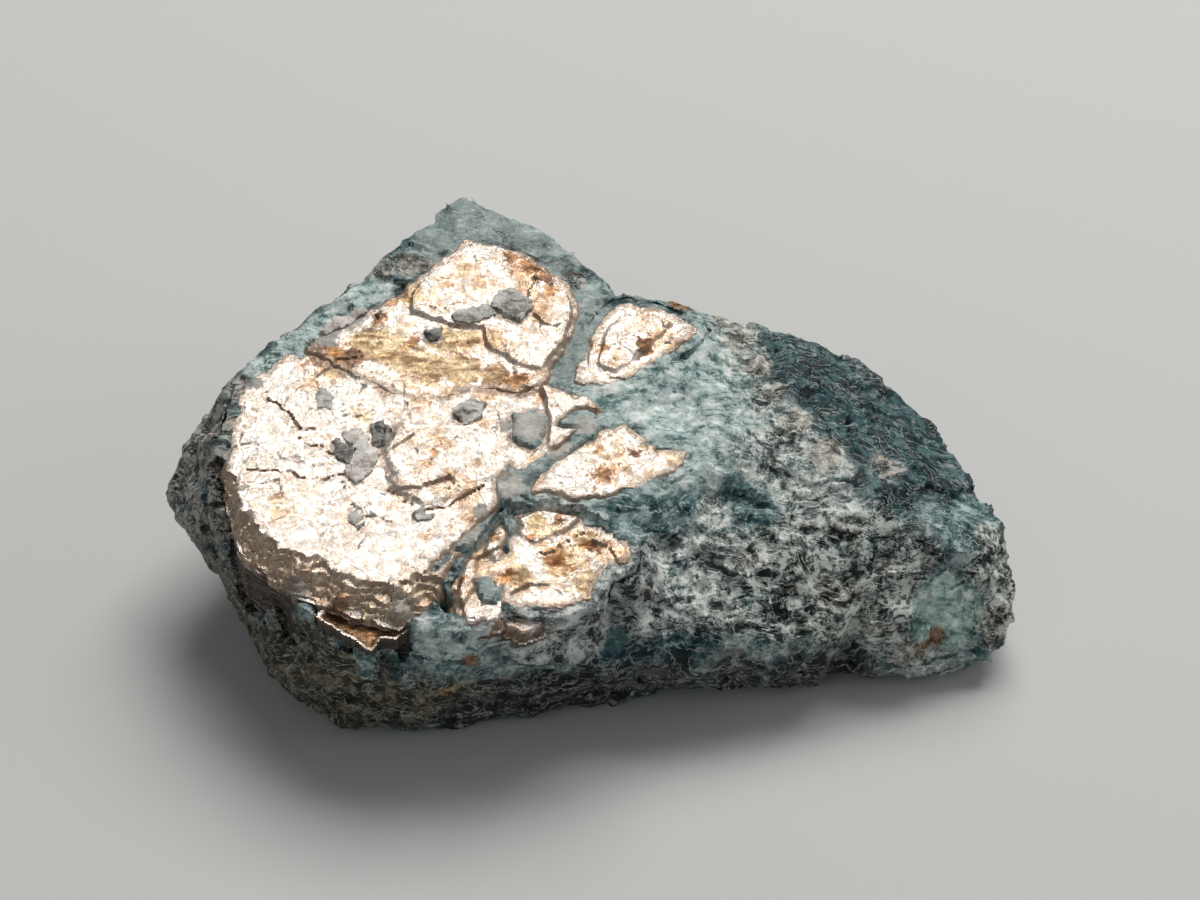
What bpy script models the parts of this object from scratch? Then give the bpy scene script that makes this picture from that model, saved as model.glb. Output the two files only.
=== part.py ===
"""A rough grandidierite specimen that carries bronze mica crystals.

The blue-green mass is one broken lump. Five mica crystals sit in seats in its top: a
thick book on the left, a plate below the peak, a small flake behind, a pointed plate
and a front plate. Each crystal is a pile of cleavage sheets that end in ledges.

Lengths are in millimetres until a point reaches a mesh. +X runs along the lump, +Y away
from its front and +Z up, and the finished specimen stands centred over the origin.
"""

import math

import bmesh
import bpy
from mathutils import Euler, Matrix, Vector, noise

MM = 0.001

# How finely the lump is resolved, and how many faces it keeps
VOXEL = 0.5
LUMP_FACES = 5800

# Broken grains of the lump: their size, and how far their facets stand proud
GRAIN_SIZES = [(4.2, 0.6), (1.9, 0.42)]

# The grains are turned and bent out of line with the axes
GRAIN_TURN = Euler((math.radians(31), math.radians(17), math.radians(43))).to_matrix()
GRAIN_BEND = 0.3

# The air between a mica crystal and the seat that holds it, and how far a seat is open above
SEAT_GAP = 0.3
SEAT_TOP = 6.0

# Every cleavage sheet rises towards the back at this angle, and the plane of the sheets
# passes over the origin at this height
SHEET_TILT = math.radians(6.8)
SHEET_HEIGHT = 8.3

# How far a broken sheet edge wanders inwards from its outline, and over what length
EDGE_CHIP = 0.25
EDGE_STEP = 0.9

# How deep a sheet edge is bitten on average, as a share of the chip, and how often that changes
MEAN_BITE = 0.5
BITES_PER_MM = 1.7

# A sharp corner of a grown outline moves out by no more than the margin over this share
SHARPEST_CORNER = 0.5

# Points of a mesh that lie closer than this, in metres, are welded
WELD = 0.00001

# Corners of the broken blocks that make up the lump
WEST_MASS = [
    (-13.4, -3.6, 7.4),
    (-13.3, 1.7, 8.0),
    (-9.9, 4.9, 8.8),
    (-7.4, 7.5, 9.2),
    (-1.0, 7.1, 8.9),
    (1.5, 5.6, 8.5),
    (3.6, -2.4, 7.9),
    (1.2, -6.1, 6.8),
    (-1.2, -8.9, 6.2),
    (-4.4, -10.0, 6.4),
    (-6.7, -9.8, 6.8),
    (-10.4, -8.5, 7.0),
    (-16.1, -1.4, 4.9),
    (-15.0, 0.6, 6.6),
    (-13.9, -4.2, 3.4),
    (-11.5, -7.5, 1.3),
    (-9.6, -8.9, 0.2),
    (-6.7, -9.5, 0.2),
    (-3.0, -8.5, 0.2),
    (-7.5, -6.8, -0.6),
    (-2.0, -6.5, -0.6),
    (-8.0, 0.0, -0.5),
    (0.0, 2.5, -0.5),
    (-12.8, 1.5, 1.9),
    (-9.2, 6.5, 2.5),
    (2.0, 6.5, 1.2),
    (4.0, -6.7, 0.2),
]
BACK_PEAK = [
    (-4.7, 10.3, 9.7),
    (-6.0, 9.4, 9.4),
    (-8.3, 7.0, 9.1),
    (-3.1, 9.4, 9.4),
    (0.2, 6.8, 8.7),
    (-8.4, 8.2, 4.5),
    (-5.2, 11.7, 6.2),
    (-2.6, 10.8, 4.2),
    (1.8, 8.0, 3.2),
    (-6.5, 8.7, 1.1),
    (0.0, 7.6, 1.0),
    (-6.0, 2.0, 1.0),
    (1.0, 2.0, 1.0),
    (-6.0, 2.0, 7.0),
    (1.0, 2.0, 7.0),
]
EAST_MASS = [
    (1.0, 5.9, 8.2),
    (4.2, 5.1, 8.3),
    (7.4, 4.4, 7.8),
    (10.6, 3.3, 7.0),
    (13.0, 1.1, 6.1),
    (14.4, -1.0, 5.2),
    (6.8, 1.2, 8.2),
    (8.8, -1.6, 7.5),
    (10.5, -3.3, 6.6),
    (3.4, -2.2, 8.0),
    (0.3, -9.1, 3.2),
    (4.0, -8.3, 3.1),
    (8.2, -7.6, 3.3),
    (-2.5, -9.4, 4.4),
    (11.2, 3.7, 3.6),
    (5.0, 7.0, 3.4),
    (8.8, -6.9, 0.4),
    (3.0, -6.9, 0.1),
    (5.0, -4.0, -0.6),
    (6.0, 0.5, -0.4),
    (11.5, 1.0, 1.0),
    (3.0, 5.4, 0.8),
]
EAST_KNOB = [
    (12.5, -4.3, 5.6),
    (14.1, -0.8, 5.1),
    (15.2, -2.3, 4.6),
    (15.9, -4.4, 3.1),
    (15.4, -5.7, 1.3),
    (14.3, -6.2, 0.5),
    (12.5, -6.4, 0.1),
    (11.2, -6.9, 1.4),
    (10.4, -6.6, 3.4),
    (9.8, -2.4, 6.4),
    (15.4, -3.0, 1.2),
    (13.2, 0.2, 1.2),
    (9.4, -6.9, 0.3),
    (9.0, 0.5, 0.8),
]

# Outlines in the plane of the sheets: along the lump, then up the sheets. The book and
# the steps on its top
BOOK = [
    (-11.2, 2.1),
    (-10.1, 1.7),
    (-9.3, 1.2),
    (-8.3, 0.6),
    (-7.2, -0.1),
    (-5.6, -0.3),
    (-4.3, 0.3),
    (-2.6, 0.0),
    (-1.9, 0.5),
    (-1.1, 0.5),
    (-0.3, 0.3),
    (0.4, -0.4),
    (-0.1, -0.9),
    (-1.3, -2.1),
    (-2.5, -3.3),
    (-3.6, -4.6),
    (-5.0, -7.0),
    (-5.7, -8.8),
    (-6.7, -9.5),
    (-8.8, -8.9),
    (-10.6, -8.0),
    (-12.5, -6.3),
    (-13.3, -3.6),
    (-13.1, -1.3),
    (-12.8, 0.6),
]
BOOK_STEP_BACK = [
    (-12.7, 0.6),
    (-10.6, 1.4),
    (-9.1, 0.6),
    (-7.4, -0.4),
    (-7.7, -1.3),
    (-9.0, -1.9),
    (-8.9, -3.2),
    (-10.5, -3.3),
    (-12.6, -2.8),
    (-13.0, -1.3),
]
BOOK_STEP_FRONT = [
    (-12.7, -3.3),
    (-8.9, -3.6),
    (-7.7, -4.1),
    (-6.6, -5.2),
    (-5.4, -5.3),
    (-4.4, -6.3),
    (-5.7, -7.7),
    (-6.4, -8.9),
    (-8.8, -8.8),
    (-10.6, -7.9),
    (-12.4, -6.3),
    (-13.1, -4.2),
]
BOOK_STEP_EAST = [
    (-7.1, -0.6),
    (-5.6, -0.8),
    (-3.4, -0.4),
    (-2.8, -1.0),
    (-2.5, -2.5),
    (-3.7, -3.9),
    (-5.6, -4.9),
    (-6.5, -4.9),
    (-7.4, -3.9),
    (-7.8, -2.4),
]
BOOK_LEDGE = [
    (-9.6, -9.4),
    (-9.0, -8.0),
    (-7.0, -8.0),
    (-6.4, -9.4),
    (-6.5, -9.9),
    (-7.2, -10.0),
    (-7.5, -10.4),
    (-8.5, -10.2),
]

# The plate below the peak, which steps down into a shallow valley at its front
PEAK_PLATE = [
    (-4.9, 7.9),
    (-3.5, 7.7),
    (-2.0, 6.8),
    (-0.8, 5.4),
    (-0.6, 4.4),
    (-1.1, 2.7),
    (-1.8, 1.1),
    (-2.7, 0.6),
    (-4.3, 0.8),
    (-5.6, 0.2),
    (-7.1, 0.4),
    (-8.1, 1.1),
    (-9.2, 1.7),
    (-9.9, 2.2),
    (-10.6, 2.6),
    (-10.2, 3.0),
    (-9.0, 3.8),
    (-7.8, 4.8),
    (-6.7, 5.9),
    (-5.8, 6.9),
]
PEAK_STEP_LOW = [
    (-8.8, 3.0),
    (-7.1, 2.7),
    (-5.6, 2.4),
    (-3.8, 1.9),
    (-1.9, 1.2),
    (-1.7, 1.7),
    (-2.6, 3.0),
    (-4.5, 5.4),
    (-6.9, 5.4),
    (-7.8, 4.6),
]
PEAK_STEP_TOP = [
    (-6.9, 4.3),
    (-6.0, 3.9),
    (-5.1, 3.6),
    (-4.1, 3.5),
    (-4.0, 2.7),
    (-2.8, 1.8),
    (-1.9, 1.5),
    (-1.1, 2.7),
    (-0.7, 4.2),
    (-0.9, 5.1),
    (-2.0, 6.5),
    (-3.5, 7.4),
    (-4.6, 7.6),
    (-5.8, 6.5),
    (-6.7, 5.5),
]

# The small flake behind the notch
BACK_FLAKE = [
    (-0.6, 1.0),
    (-0.1, 2.7),
    (0.5, 4.2),
    (1.0, 4.7),
    (2.3, 4.5),
    (3.6, 3.9),
    (4.0, 3.5),
    (3.2, 2.7),
    (2.5, 2.2),
    (1.2, 1.1),
    (0.3, 0.8),
]
BACK_FLAKE_STEP = [
    (0.1, 1.7),
    (0.5, 3.5),
    (1.0, 4.1),
    (2.3, 4.1),
    (3.0, 3.7),
    (2.3, 2.8),
    (1.8, 2.2),
    (0.8, 1.3),
]

# The pointed plate, whose tip lies to the right
POINTED_PLATE = [
    (0.3, -1.2),
    (1.2, -1.0),
    (1.9, -2.0),
    (3.4, -2.2),
    (3.3, -2.8),
    (2.3, -3.5),
    (0.6, -4.3),
    (-0.6, -4.4),
    (-2.3, -4.1),
    (-1.8, -3.3),
    (-0.75, -2.2),
]
POINTED_STEP = [
    (-1.8, -4.0),
    (-1.4, -3.4),
    (-0.6, -2.5),
    (0.3, -1.5),
    (1.0, -1.3),
    (1.6, -2.3),
    (2.3, -2.6),
    (1.6, -3.3),
    (0.3, -4.0),
    (-0.6, -4.2),
]

# The front plate, with a lens on its back edge and two knobs on its left edge
FRONT_PLATE = [
    (-3.1, -4.9),
    (-2.8, -4.8),
    (-1.9, -4.6),
    (-0.9, -4.8),
    (-0.2, -4.9),
    (-0.2, -5.2),
    (0.4, -5.5),
    (1.3, -6.0),
    (1.2, -6.9),
    (0.3, -7.2),
    (-0.1, -8.4),
    (-1.1, -8.9),
    (-2.2, -8.9),
    (-3.2, -8.6),
    (-3.8, -8.9),
    (-4.5, -9.2),
    (-5.0, -9.0),
    (-4.6, -7.0),
    (-4.1, -6.2),
    (-3.6, -5.5),
]
FRONT_LENS = [
    (-2.8, -5.0),
    (-1.9, -4.7),
    (-0.3, -5.0),
    (-0.4, -5.2),
    (-1.4, -5.9),
    (-2.1, -6.2),
    (-2.6, -5.8),
]
FRONT_KNOB_BACK = [
    (-3.9, -6.6),
    (-3.6, -5.6),
    (-3.2, -5.0),
    (-2.9, -5.6),
    (-2.9, -6.4),
    (-3.4, -7.0),
]
FRONT_KNOB_LEFT = [
    (-4.9, -8.8),
    (-4.6, -7.2),
    (-4.2, -6.6),
    (-4.0, -7.0),
    (-4.0, -8.1),
    (-4.4, -8.9),
]

# Each crystal as a pile of sheets. A sheet is an outline, the heights over the plane of
# the sheets between which it lies, and how far it is drawn in from the outline.
CRYSTALS = {
    "mica_book": [
        (BOOK, -3.4, -2.7, 0.3),
        (BOOK, -2.75, -2.1, 0.0),
        (BOOK, -2.15, -1.5, 0.35),
        (BOOK, -1.55, -0.8, 0.05),
        (BOOK, -0.85, -0.15, 0.2),
        (BOOK_LEDGE, -1.6, -1.0, 0.0),
        (BOOK_STEP_BACK, -0.3, 0.05, 0.0),
        (BOOK_STEP_FRONT, -0.35, 0.15, 0.0),
        (BOOK_STEP_EAST, -0.4, 0.25, 0.0),
    ],
    "mica_peak_plate": [
        (PEAK_PLATE, -1.5, -0.9, 0.1),
        (PEAK_PLATE, -0.95, -0.4, 0.0),
        (PEAK_STEP_LOW, -0.5, 0.0, 0.0),
        (PEAK_STEP_TOP, -0.6, 0.4, 0.0),
    ],
    "mica_back_flake": [
        (BACK_FLAKE, -1.1, -0.5, 0.1),
        (BACK_FLAKE, -0.55, -0.05, 0.0),
        (BACK_FLAKE_STEP, -0.2, 0.2, 0.0),
    ],
    "mica_pointed_plate": [
        (POINTED_PLATE, -0.9, -0.4, 0.1),
        (POINTED_PLATE, -0.45, -0.05, 0.0),
        (POINTED_STEP, -0.2, 0.15, 0.0),
    ],
    "mica_front_plate": [
        (FRONT_PLATE, -2.0, -1.3, 0.1),
        (FRONT_PLATE, -1.35, -0.7, 0.0),
        (FRONT_LENS, -0.8, -0.3, 0.0),
        (FRONT_KNOB_BACK, -0.85, -0.25, 0.0),
        (FRONT_KNOB_LEFT, -0.9, -0.2, 0.0),
    ],
}

# The outlines that each crystal's seat is cut to, and the height of the crystal's underside there
SEATS = {
    "mica_book": [(BOOK, -3.4), (BOOK_LEDGE, -1.6)],
    "mica_peak_plate": [(PEAK_PLATE, -1.5)],
    "mica_back_flake": [(BACK_FLAKE, -1.1)],
    "mica_pointed_plate": [(POINTED_PLATE, -0.9)],
    "mica_front_plate": [(FRONT_PLATE, -2.0)],
}

LUMP_COLOUR = (0.08, 0.22, 0.23)
LUMP_ROUGHNESS = 0.5
MICA_COLOUR = (0.86, 0.66, 0.50)
MICA_ROUGHNESS = 0.3
MICA_METALLIC = 0.7


def clear_scene():
    """Starts from an empty scene."""
    for item in list(bpy.data.objects):
        bpy.data.objects.remove(item, do_unlink=True)


def make_collection(name):
    made = bpy.data.collections.new(name)
    bpy.context.scene.collection.children.link(made)
    return made


def make_material(name, colour, roughness, metallic):
    made = bpy.data.materials.new(name)
    made.use_nodes = True
    made.diffuse_color = (*colour, 1.0)
    shader = made.node_tree.nodes["Principled BSDF"]
    shader.inputs["Base Color"].default_value = (*colour, 1.0)
    shader.inputs["Roughness"].default_value = roughness
    shader.inputs["Metallic"].default_value = metallic
    return made


def evaluated_mesh(item):
    """A new mesh that holds what an object's curve or modifiers make."""
    bpy.context.view_layer.update()
    graph = bpy.context.evaluated_depsgraph_get()
    return bpy.data.meshes.new_from_object(item.evaluated_get(graph))


def bake_modifiers(item):
    """Gives an object the mesh that its modifiers make."""
    baked = evaluated_mesh(item)
    item.modifiers.clear()
    item.data = baked


def add_block(bm, corners):
    """Adds the convex block with these corners to a bmesh."""
    new_verts = [bm.verts.new(Vector(corner) * MM) for corner in corners]
    hull = bmesh.ops.convex_hull(bm, input=new_verts)
    inside = [item for item in hull["geom_interior"] if isinstance(item, bmesh.types.BMVert)]
    bmesh.ops.delete(bm, geom=inside, context="VERTS")


def facet_height(point, grain):
    """How far the facet of the grain at this point leans out, from about -0.5 to 0.5.

    Each grain is one Voronoi cell, and its facet is a plane that leans its own way.
    """
    place = GRAIN_TURN @ point / (grain * MM)
    wander = [noise.noise(turned) for turned in (place.xyz, place.yzx, place.zxy)]
    place += Vector(wander) * GRAIN_BEND
    centre = noise.voronoi(place)[1][0]
    lean = noise.cell_vector(centre) - Vector((0.5, 0.5, 0.5))
    return (place - centre).dot(lean)


def break_surface(item):
    """Moves each point of the lump out or in, so that its faces are broken into facets."""
    bm = bmesh.new()
    bm.from_mesh(item.data)
    bm.normal_update()
    moves = []
    for vert in bm.verts:
        height = sum(facet_height(vert.co, grain) * proud for grain, proud in GRAIN_SIZES)
        moves.append(vert.normal * height * MM)
    for vert, move in zip(bm.verts, moves):
        vert.co += move
    bm.to_mesh(item.data)
    bm.free()


def cut_resting_spot(item):
    """Cuts the lump off flat at ground level, which leaves the small spot it rests on."""
    bm = bmesh.new()
    bm.from_mesh(item.data)
    geometry = bm.verts[:] + bm.edges[:] + bm.faces[:]
    cut = bmesh.ops.bisect_plane(
        bm, geom=geometry, plane_co=(0, 0, 0), plane_no=(0, 0, -1), clear_outer=True
    )
    rim = [item for item in cut["geom_cut"] if isinstance(item, bmesh.types.BMEdge)]
    bmesh.ops.holes_fill(bm, edges=rim, sides=0)
    bmesh.ops.triangulate(bm, faces=bm.faces[:])
    bmesh.ops.recalc_face_normals(bm, faces=bm.faces[:])
    bm.to_mesh(item.data)
    bm.free()


def make_lump(collection):
    """The blue-green mass: overlapping blocks fused into one broken surface."""
    bm = bmesh.new()
    for corners in (WEST_MASS, BACK_PEAK, EAST_MASS, EAST_KNOB):
        add_block(bm, corners)
    mesh = bpy.data.meshes.new("grandidierite_mass")
    bm.to_mesh(mesh)
    bm.free()
    lump = bpy.data.objects.new("grandidierite_mass", mesh)
    collection.objects.link(lump)

    fuse = lump.modifiers.new("Fuse", "REMESH")
    fuse.mode = "VOXEL"
    fuse.voxel_size = VOXEL * MM
    bake_modifiers(lump)

    break_surface(lump)

    thin_out = lump.modifiers.new("Thin out", "DECIMATE")
    thin_out.ratio = LUMP_FACES / (2 * len(lump.data.polygons))
    bake_modifiers(lump)

    cut_resting_spot(lump)
    return lump


def grown(outline, margin):
    """An outline whose sides all lie this far outside the given ones, or inside if negative."""
    corners = [Vector(corner) for corner in outline]
    before = corners[-1:] + corners[:-1]
    after = corners[1:] + corners[:1]
    area = sum(a.cross(b) for a, b in zip(corners, after))
    side = -1 if area > 0 else 1
    result = []
    for last, corner, following in zip(before, corners, after):
        arriving = (corner - last).normalized()
        leaving = (following - corner).normalized()
        outward = Vector((-arriving.y - leaving.y, arriving.x + leaving.x)).normalized() * side
        share = max(SHARPEST_CORNER, outward.dot(Vector((-leaving.y, leaving.x)) * side))
        result.append(corner + outward * margin / share)
    return result


def chipped(outline, drawn_in, height):
    """A broken edge: the outline drawn in, with points along it that wander inwards."""
    corners = grown(outline, -drawn_in)
    points = []
    for start, end in zip(corners, corners[1:] + corners[:1]):
        steps = max(1, round((end - start).length / EDGE_STEP))
        points += [start.lerp(end, step / steps) for step in range(steps)]
    inner = grown(points, -EDGE_CHIP)
    result = []
    for point, deepest in zip(points, inner):
        bite = MEAN_BITE + noise.noise(Vector((*point, height)) * BITES_PER_MM)
        result.append(point.lerp(deepest, min(max(bite, 0), 1)))
    return result


def make_prism(name, outline, low, high, collection):
    """A closed flat piece of this outline, between two heights over the plane of the sheets."""
    curve = bpy.data.curves.new(name, "CURVE")
    curve.dimensions = "2D"
    curve.fill_mode = "BOTH"
    curve.extrude = (high - low) / 2 * MM
    spline = curve.splines.new("POLY")
    spline.points.add(len(outline) - 1)
    for point, (along, up) in zip(spline.points, outline):
        point.co = (along * MM, up * MM, 0, 1)
    spline.use_cyclic_u = True
    drawn = bpy.data.objects.new(name, curve)
    collection.objects.link(drawn)
    mesh = evaluated_mesh(drawn)
    bpy.data.objects.remove(drawn, do_unlink=True)

    bm = bmesh.new()
    bm.from_mesh(mesh)
    bmesh.ops.remove_doubles(bm, verts=bm.verts[:], dist=WELD)
    bmesh.ops.recalc_face_normals(bm, faces=bm.faces[:])
    bm.to_mesh(mesh)
    bm.free()
    prism = bpy.data.objects.new(name, mesh)
    plane = Matrix.Translation((0, 0, SHEET_HEIGHT * MM)) @ Matrix.Rotation(SHEET_TILT, 4, "X")
    prism.matrix_world = plane @ Matrix.Translation((0, 0, (low + high) / 2 * MM))
    collection.objects.link(prism)
    return prism


def add_boolean(item, operation, other):
    modifier = item.modifiers.new(other.name, "BOOLEAN")
    modifier.operation = operation
    modifier.object = other
    modifier.solver = "EXACT"


def make_crystal(name, sheets, collection):
    """One mica crystal: a pile of sheets with broken edges, fused into one solid."""
    piled = []
    for outline, low, high, drawn_in in sheets:
        edge = chipped(outline, drawn_in, high)
        piled.append(make_prism(name, edge, low, high, collection))
    crystal = piled[0]
    for sheet in piled[1:]:
        add_boolean(crystal, "UNION", sheet)
    bake_modifiers(crystal)
    for sheet in piled[1:]:
        bpy.data.objects.remove(sheet, do_unlink=True)
    crystal.name = name
    return crystal


def cut_seat(lump, name, cutters):
    """Cuts the room for a crystal and its gap out of the lump, open to above."""
    for outline, underside in SEATS[name]:
        room = grown(outline, SEAT_GAP)
        cutter = make_prism(name + "_seat", room, underside - SEAT_GAP, SEAT_TOP, cutters)
        cutter.hide_render = True
        cutter.display_type = "WIRE"
        add_boolean(lump, "DIFFERENCE", cutter)


def stand_over_origin(pieces, cutters):
    """Moves the specimen so that the middle of its box is over the origin."""
    points = []
    for piece in pieces:
        shaped = evaluated_mesh(piece)
        points += [piece.matrix_world @ vert.co for vert in shaped.vertices]
        bpy.data.meshes.remove(shaped)
    middle_x = (min(point.x for point in points) + max(point.x for point in points)) / 2
    middle_y = (min(point.y for point in points) + max(point.y for point in points)) / 2
    for item in pieces + list(cutters.objects):
        item.location -= Vector((middle_x, middle_y, 0))


def main():
    clear_scene()
    specimen = make_collection("grandidierite_specimen")
    cutters = make_collection("seat_cutters")
    green = make_material("grandidierite", LUMP_COLOUR, LUMP_ROUGHNESS, 0.0)
    lump = make_lump(specimen)
    lump.data.materials.append(green)
    pieces = [lump]
    for name, sheets in CRYSTALS.items():
        crystal = make_crystal(name, sheets, specimen)
        bronze = make_material(name, MICA_COLOUR, MICA_ROUGHNESS, MICA_METALLIC)
        crystal.data.materials.append(bronze)
        cut_seat(lump, name, cutters)
        pieces.append(crystal)
    stand_over_origin(pieces, cutters)


main()
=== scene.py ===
# %% [markdown]
# # A rough grandidierite specimen with bronze mica
#
# The real object is a broken lump of blue-green grandidierite, about 31 mm long. Its grains
# are glassy and dark in some places and crushed to a pale crust in others. A thick book of
# mica and four thinner mica plates are grown into its top. The plain solids come from the
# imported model. This notebook gives them their broken surfaces, their sheets and their finish.
#
# Everything is in metres in Blender, and in millimetres in the lists that a person reads.

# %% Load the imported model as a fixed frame
import math

import bmesh
import bpy
import numpy as np
from mathutils import Matrix, Vector, noise
from mathutils.bvhtree import BVHTree


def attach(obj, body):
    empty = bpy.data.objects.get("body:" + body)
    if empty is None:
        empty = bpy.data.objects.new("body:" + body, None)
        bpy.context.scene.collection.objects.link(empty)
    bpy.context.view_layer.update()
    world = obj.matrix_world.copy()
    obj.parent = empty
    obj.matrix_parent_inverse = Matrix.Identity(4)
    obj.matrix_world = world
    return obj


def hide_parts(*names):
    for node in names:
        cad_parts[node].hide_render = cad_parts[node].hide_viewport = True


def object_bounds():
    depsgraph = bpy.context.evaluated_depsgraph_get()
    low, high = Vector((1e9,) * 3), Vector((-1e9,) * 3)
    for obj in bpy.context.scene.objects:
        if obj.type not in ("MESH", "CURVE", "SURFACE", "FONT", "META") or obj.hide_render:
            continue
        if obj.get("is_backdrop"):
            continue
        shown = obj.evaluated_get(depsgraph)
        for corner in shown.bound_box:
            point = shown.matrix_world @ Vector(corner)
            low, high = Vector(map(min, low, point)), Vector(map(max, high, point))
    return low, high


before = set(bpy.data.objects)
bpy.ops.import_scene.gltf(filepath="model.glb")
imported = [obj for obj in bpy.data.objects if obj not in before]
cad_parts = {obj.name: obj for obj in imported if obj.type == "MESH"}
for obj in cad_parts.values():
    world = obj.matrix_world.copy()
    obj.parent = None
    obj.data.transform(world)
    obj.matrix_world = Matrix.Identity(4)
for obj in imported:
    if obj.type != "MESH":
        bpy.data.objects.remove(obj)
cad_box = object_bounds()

MM = 0.001

# %% [markdown]
# ## The plane of the sheets
#
# All mica crystals of this specimen lie parallel, because they grew on one face of the lump.
# So one matrix can turn sheet coordinates into world coordinates: u runs along the lump, v up
# the sheets towards the back, and w is the height over the plane. Every outline below is
# drawn in u and v, which is far easier than placing each plate in space.

# %% The plane of the sheets
SHEET_TILT = math.radians(6.8)
SHEET_CENTRE = Vector((0.091, -0.700, 8.3))
SHEET_TO_WORLD = Matrix.Translation(SHEET_CENTRE * MM) @ Matrix.Rotation(SHEET_TILT, 4, "X")
SHEET_UP = (SHEET_TO_WORLD.to_3x3() @ Vector((0, 0, 1))).normalized()


def to_world(points):
    """Sheet coordinates in millimetres to world coordinates in metres."""
    turned = np.array(SHEET_TO_WORLD)
    return (points * MM) @ turned[:3, :3].T + turned[:3, 3]


def to_sheet(points):
    """World coordinates in metres to sheet coordinates in millimetres."""
    turned = np.array(SHEET_TO_WORLD.inverted())
    return (points @ turned[:3, :3].T + turned[:3, 3]) / MM


print("sheets lean", round(math.degrees(SHEET_TILT), 1), "degrees, up is", SHEET_UP[:])

# %% [markdown]
# ## One way to write nodes
#
# Both the finishes and the Geometry Nodes trees are maths on values. Nodes could be added
# and linked one by one, but then a formula takes twenty lines. Instead, a `Wire` stands for
# one output socket and overloads the operators, so `1 - mask * 0.4` lays its own Math nodes.
# Every other node comes from the one method `Board.node`. The two finishes are made here, so
# that the trees can give them to the meshes, and their patterns follow further down.

# %% Wires
class Wire:
    """One output socket that can be used in plain arithmetic."""

    def __init__(self, board, socket):
        self.board = board
        self.socket = socket

    def maths(self, operation, first, second):
        return self.board.node("ShaderNodeMath", {"operation": operation}, {0: first, 1: second})[0]

    def __add__(self, other):
        return self.maths("ADD", self, other)

    def __sub__(self, other):
        return self.maths("SUBTRACT", self, other)

    def __mul__(self, other):
        return self.maths("MULTIPLY", self, other)

    def __truediv__(self, other):
        return self.maths("DIVIDE", self, other)

    def __radd__(self, other):
        return self.maths("ADD", other, self)

    def __rsub__(self, other):
        return self.maths("SUBTRACT", other, self)

    def __rmul__(self, other):
        return self.maths("MULTIPLY", other, self)

    def __rtruediv__(self, other):
        return self.maths("DIVIDE", other, self)

    def size(self):
        """The value without its sign."""
        return self.maths("ABSOLUTE", self, 0.0)

    def step(self, low, high):
        """0 below low, 1 above high, and a smooth rise between them."""
        return self.board.node(
            "ShaderNodeMapRange",
            {"interpolation_type": "SMOOTHSTEP"},
            {"Value": self, "From Min": low, "From Max": high},
        )[0]


print("wires are ready")

# %% Nodes and their sockets
class Node:
    """A node whose outputs are read by name or number."""

    def __init__(self, board, node):
        self.board = board
        self.node = node

    def __getitem__(self, key):
        return Wire(self.board, find_socket(self.node.outputs, key))


def find_socket(sockets, key):
    """The socket with this number, identifier or name."""
    if isinstance(key, int):
        return sockets[key]
    for socket in sockets:
        if socket.identifier == key:
            return socket
    return next(socket for socket in sockets if socket.name == key and socket.enabled)


print("sockets can be found")

# %% Boards
class Board:
    """Lays out the nodes of one shader tree or geometry tree."""

    def __init__(self, tree):
        self.tree = tree

    def node(self, kind, settings=None, sockets=None):
        """A new node of this type, with its settings made first and then its sockets."""
        made = self.tree.nodes.new(kind)
        for name, value in (settings or {}).items():
            setattr(made, name, value)
        for key, value in (sockets or {}).items():
            socket = find_socket(made.inputs, key)
            if isinstance(value, Wire):
                self.tree.links.new(value.socket, socket)
            else:
                socket.default_value = value
        return Node(self, made)

    def vector(self, operation, first, second):
        settings = {"operation": operation}
        key = "Scale" if operation == "SCALE" else 1
        made = self.node("ShaderNodeVectorMath", settings, {0: first, key: second})
        return made["Value" if operation in ("DOT_PRODUCT", "LENGTH") else "Vector"]

    def noise(self, place, scale, detail=2.0, roughness=0.5, output="Fac"):
        values = {"Vector": place, "Scale": scale, "Detail": detail, "Roughness": roughness}
        return self.node("ShaderNodeTexNoise", None, values)[output]

    def cells(self, place, size):
        """Voronoi cells of about this size in the units of place."""
        return self.node("ShaderNodeTexVoronoi", None, {"Vector": place, "Scale": 1 / size})

    def borders(self, place, size):
        """How far a place lies from the border of its cell, 0 on it, as a share of the size."""
        settings = {"feature": "DISTANCE_TO_EDGE"}
        return self.node("ShaderNodeTexVoronoi", settings, {"Vector": place, "Scale": 1 / size})[0]

    def mix(self, factor, first, second):
        """Blends two colours."""
        colours = [value if isinstance(value, Wire) else (*value, 1.0) for value in (first, second)]
        values = {"Factor_Float": factor, "A_Color": colours[0], "B_Color": colours[1]}
        return self.node("ShaderNodeMix", {"data_type": "RGBA"}, values)["Result_Color"]

    def attribute(self, name, output="Fac"):
        return self.node("ShaderNodeAttribute", {"attribute_name": name})[output]


print("boards are ready")

# %% Two finishes, still empty
def new_finish(name):
    """A material, its board and its Principled shader."""
    material = bpy.data.materials.new(name)
    material.use_nodes = True
    return material, Board(material.node_tree), material.node_tree.nodes["Principled BSDF"]


def connect(finish, shader, colour, rough, bump):
    """Wires a pattern's colour, roughness and bump to a finish's shader."""
    links = finish.node_tree.links
    links.new(colour.socket, shader.inputs["Base Color"])
    links.new(rough.socket, shader.inputs["Roughness"])
    links.new(bump["Normal"].socket, shader.inputs["Normal"])


green_finish, green_board, green_shader = new_finish("grandidierite")
bronze_finish, bronze_board, bronze_shader = new_finish("bronze_mica")
print("the finishes are", green_finish.name, "and", bronze_finish.name)

# %% [markdown]
# ## Small helpers for meshes
#
# A modifier's result becomes a plain mesh with `settle`, so that nothing in the finished
# piece depends on a live modifier. `show` gives a mesh an object at the origin.

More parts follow.
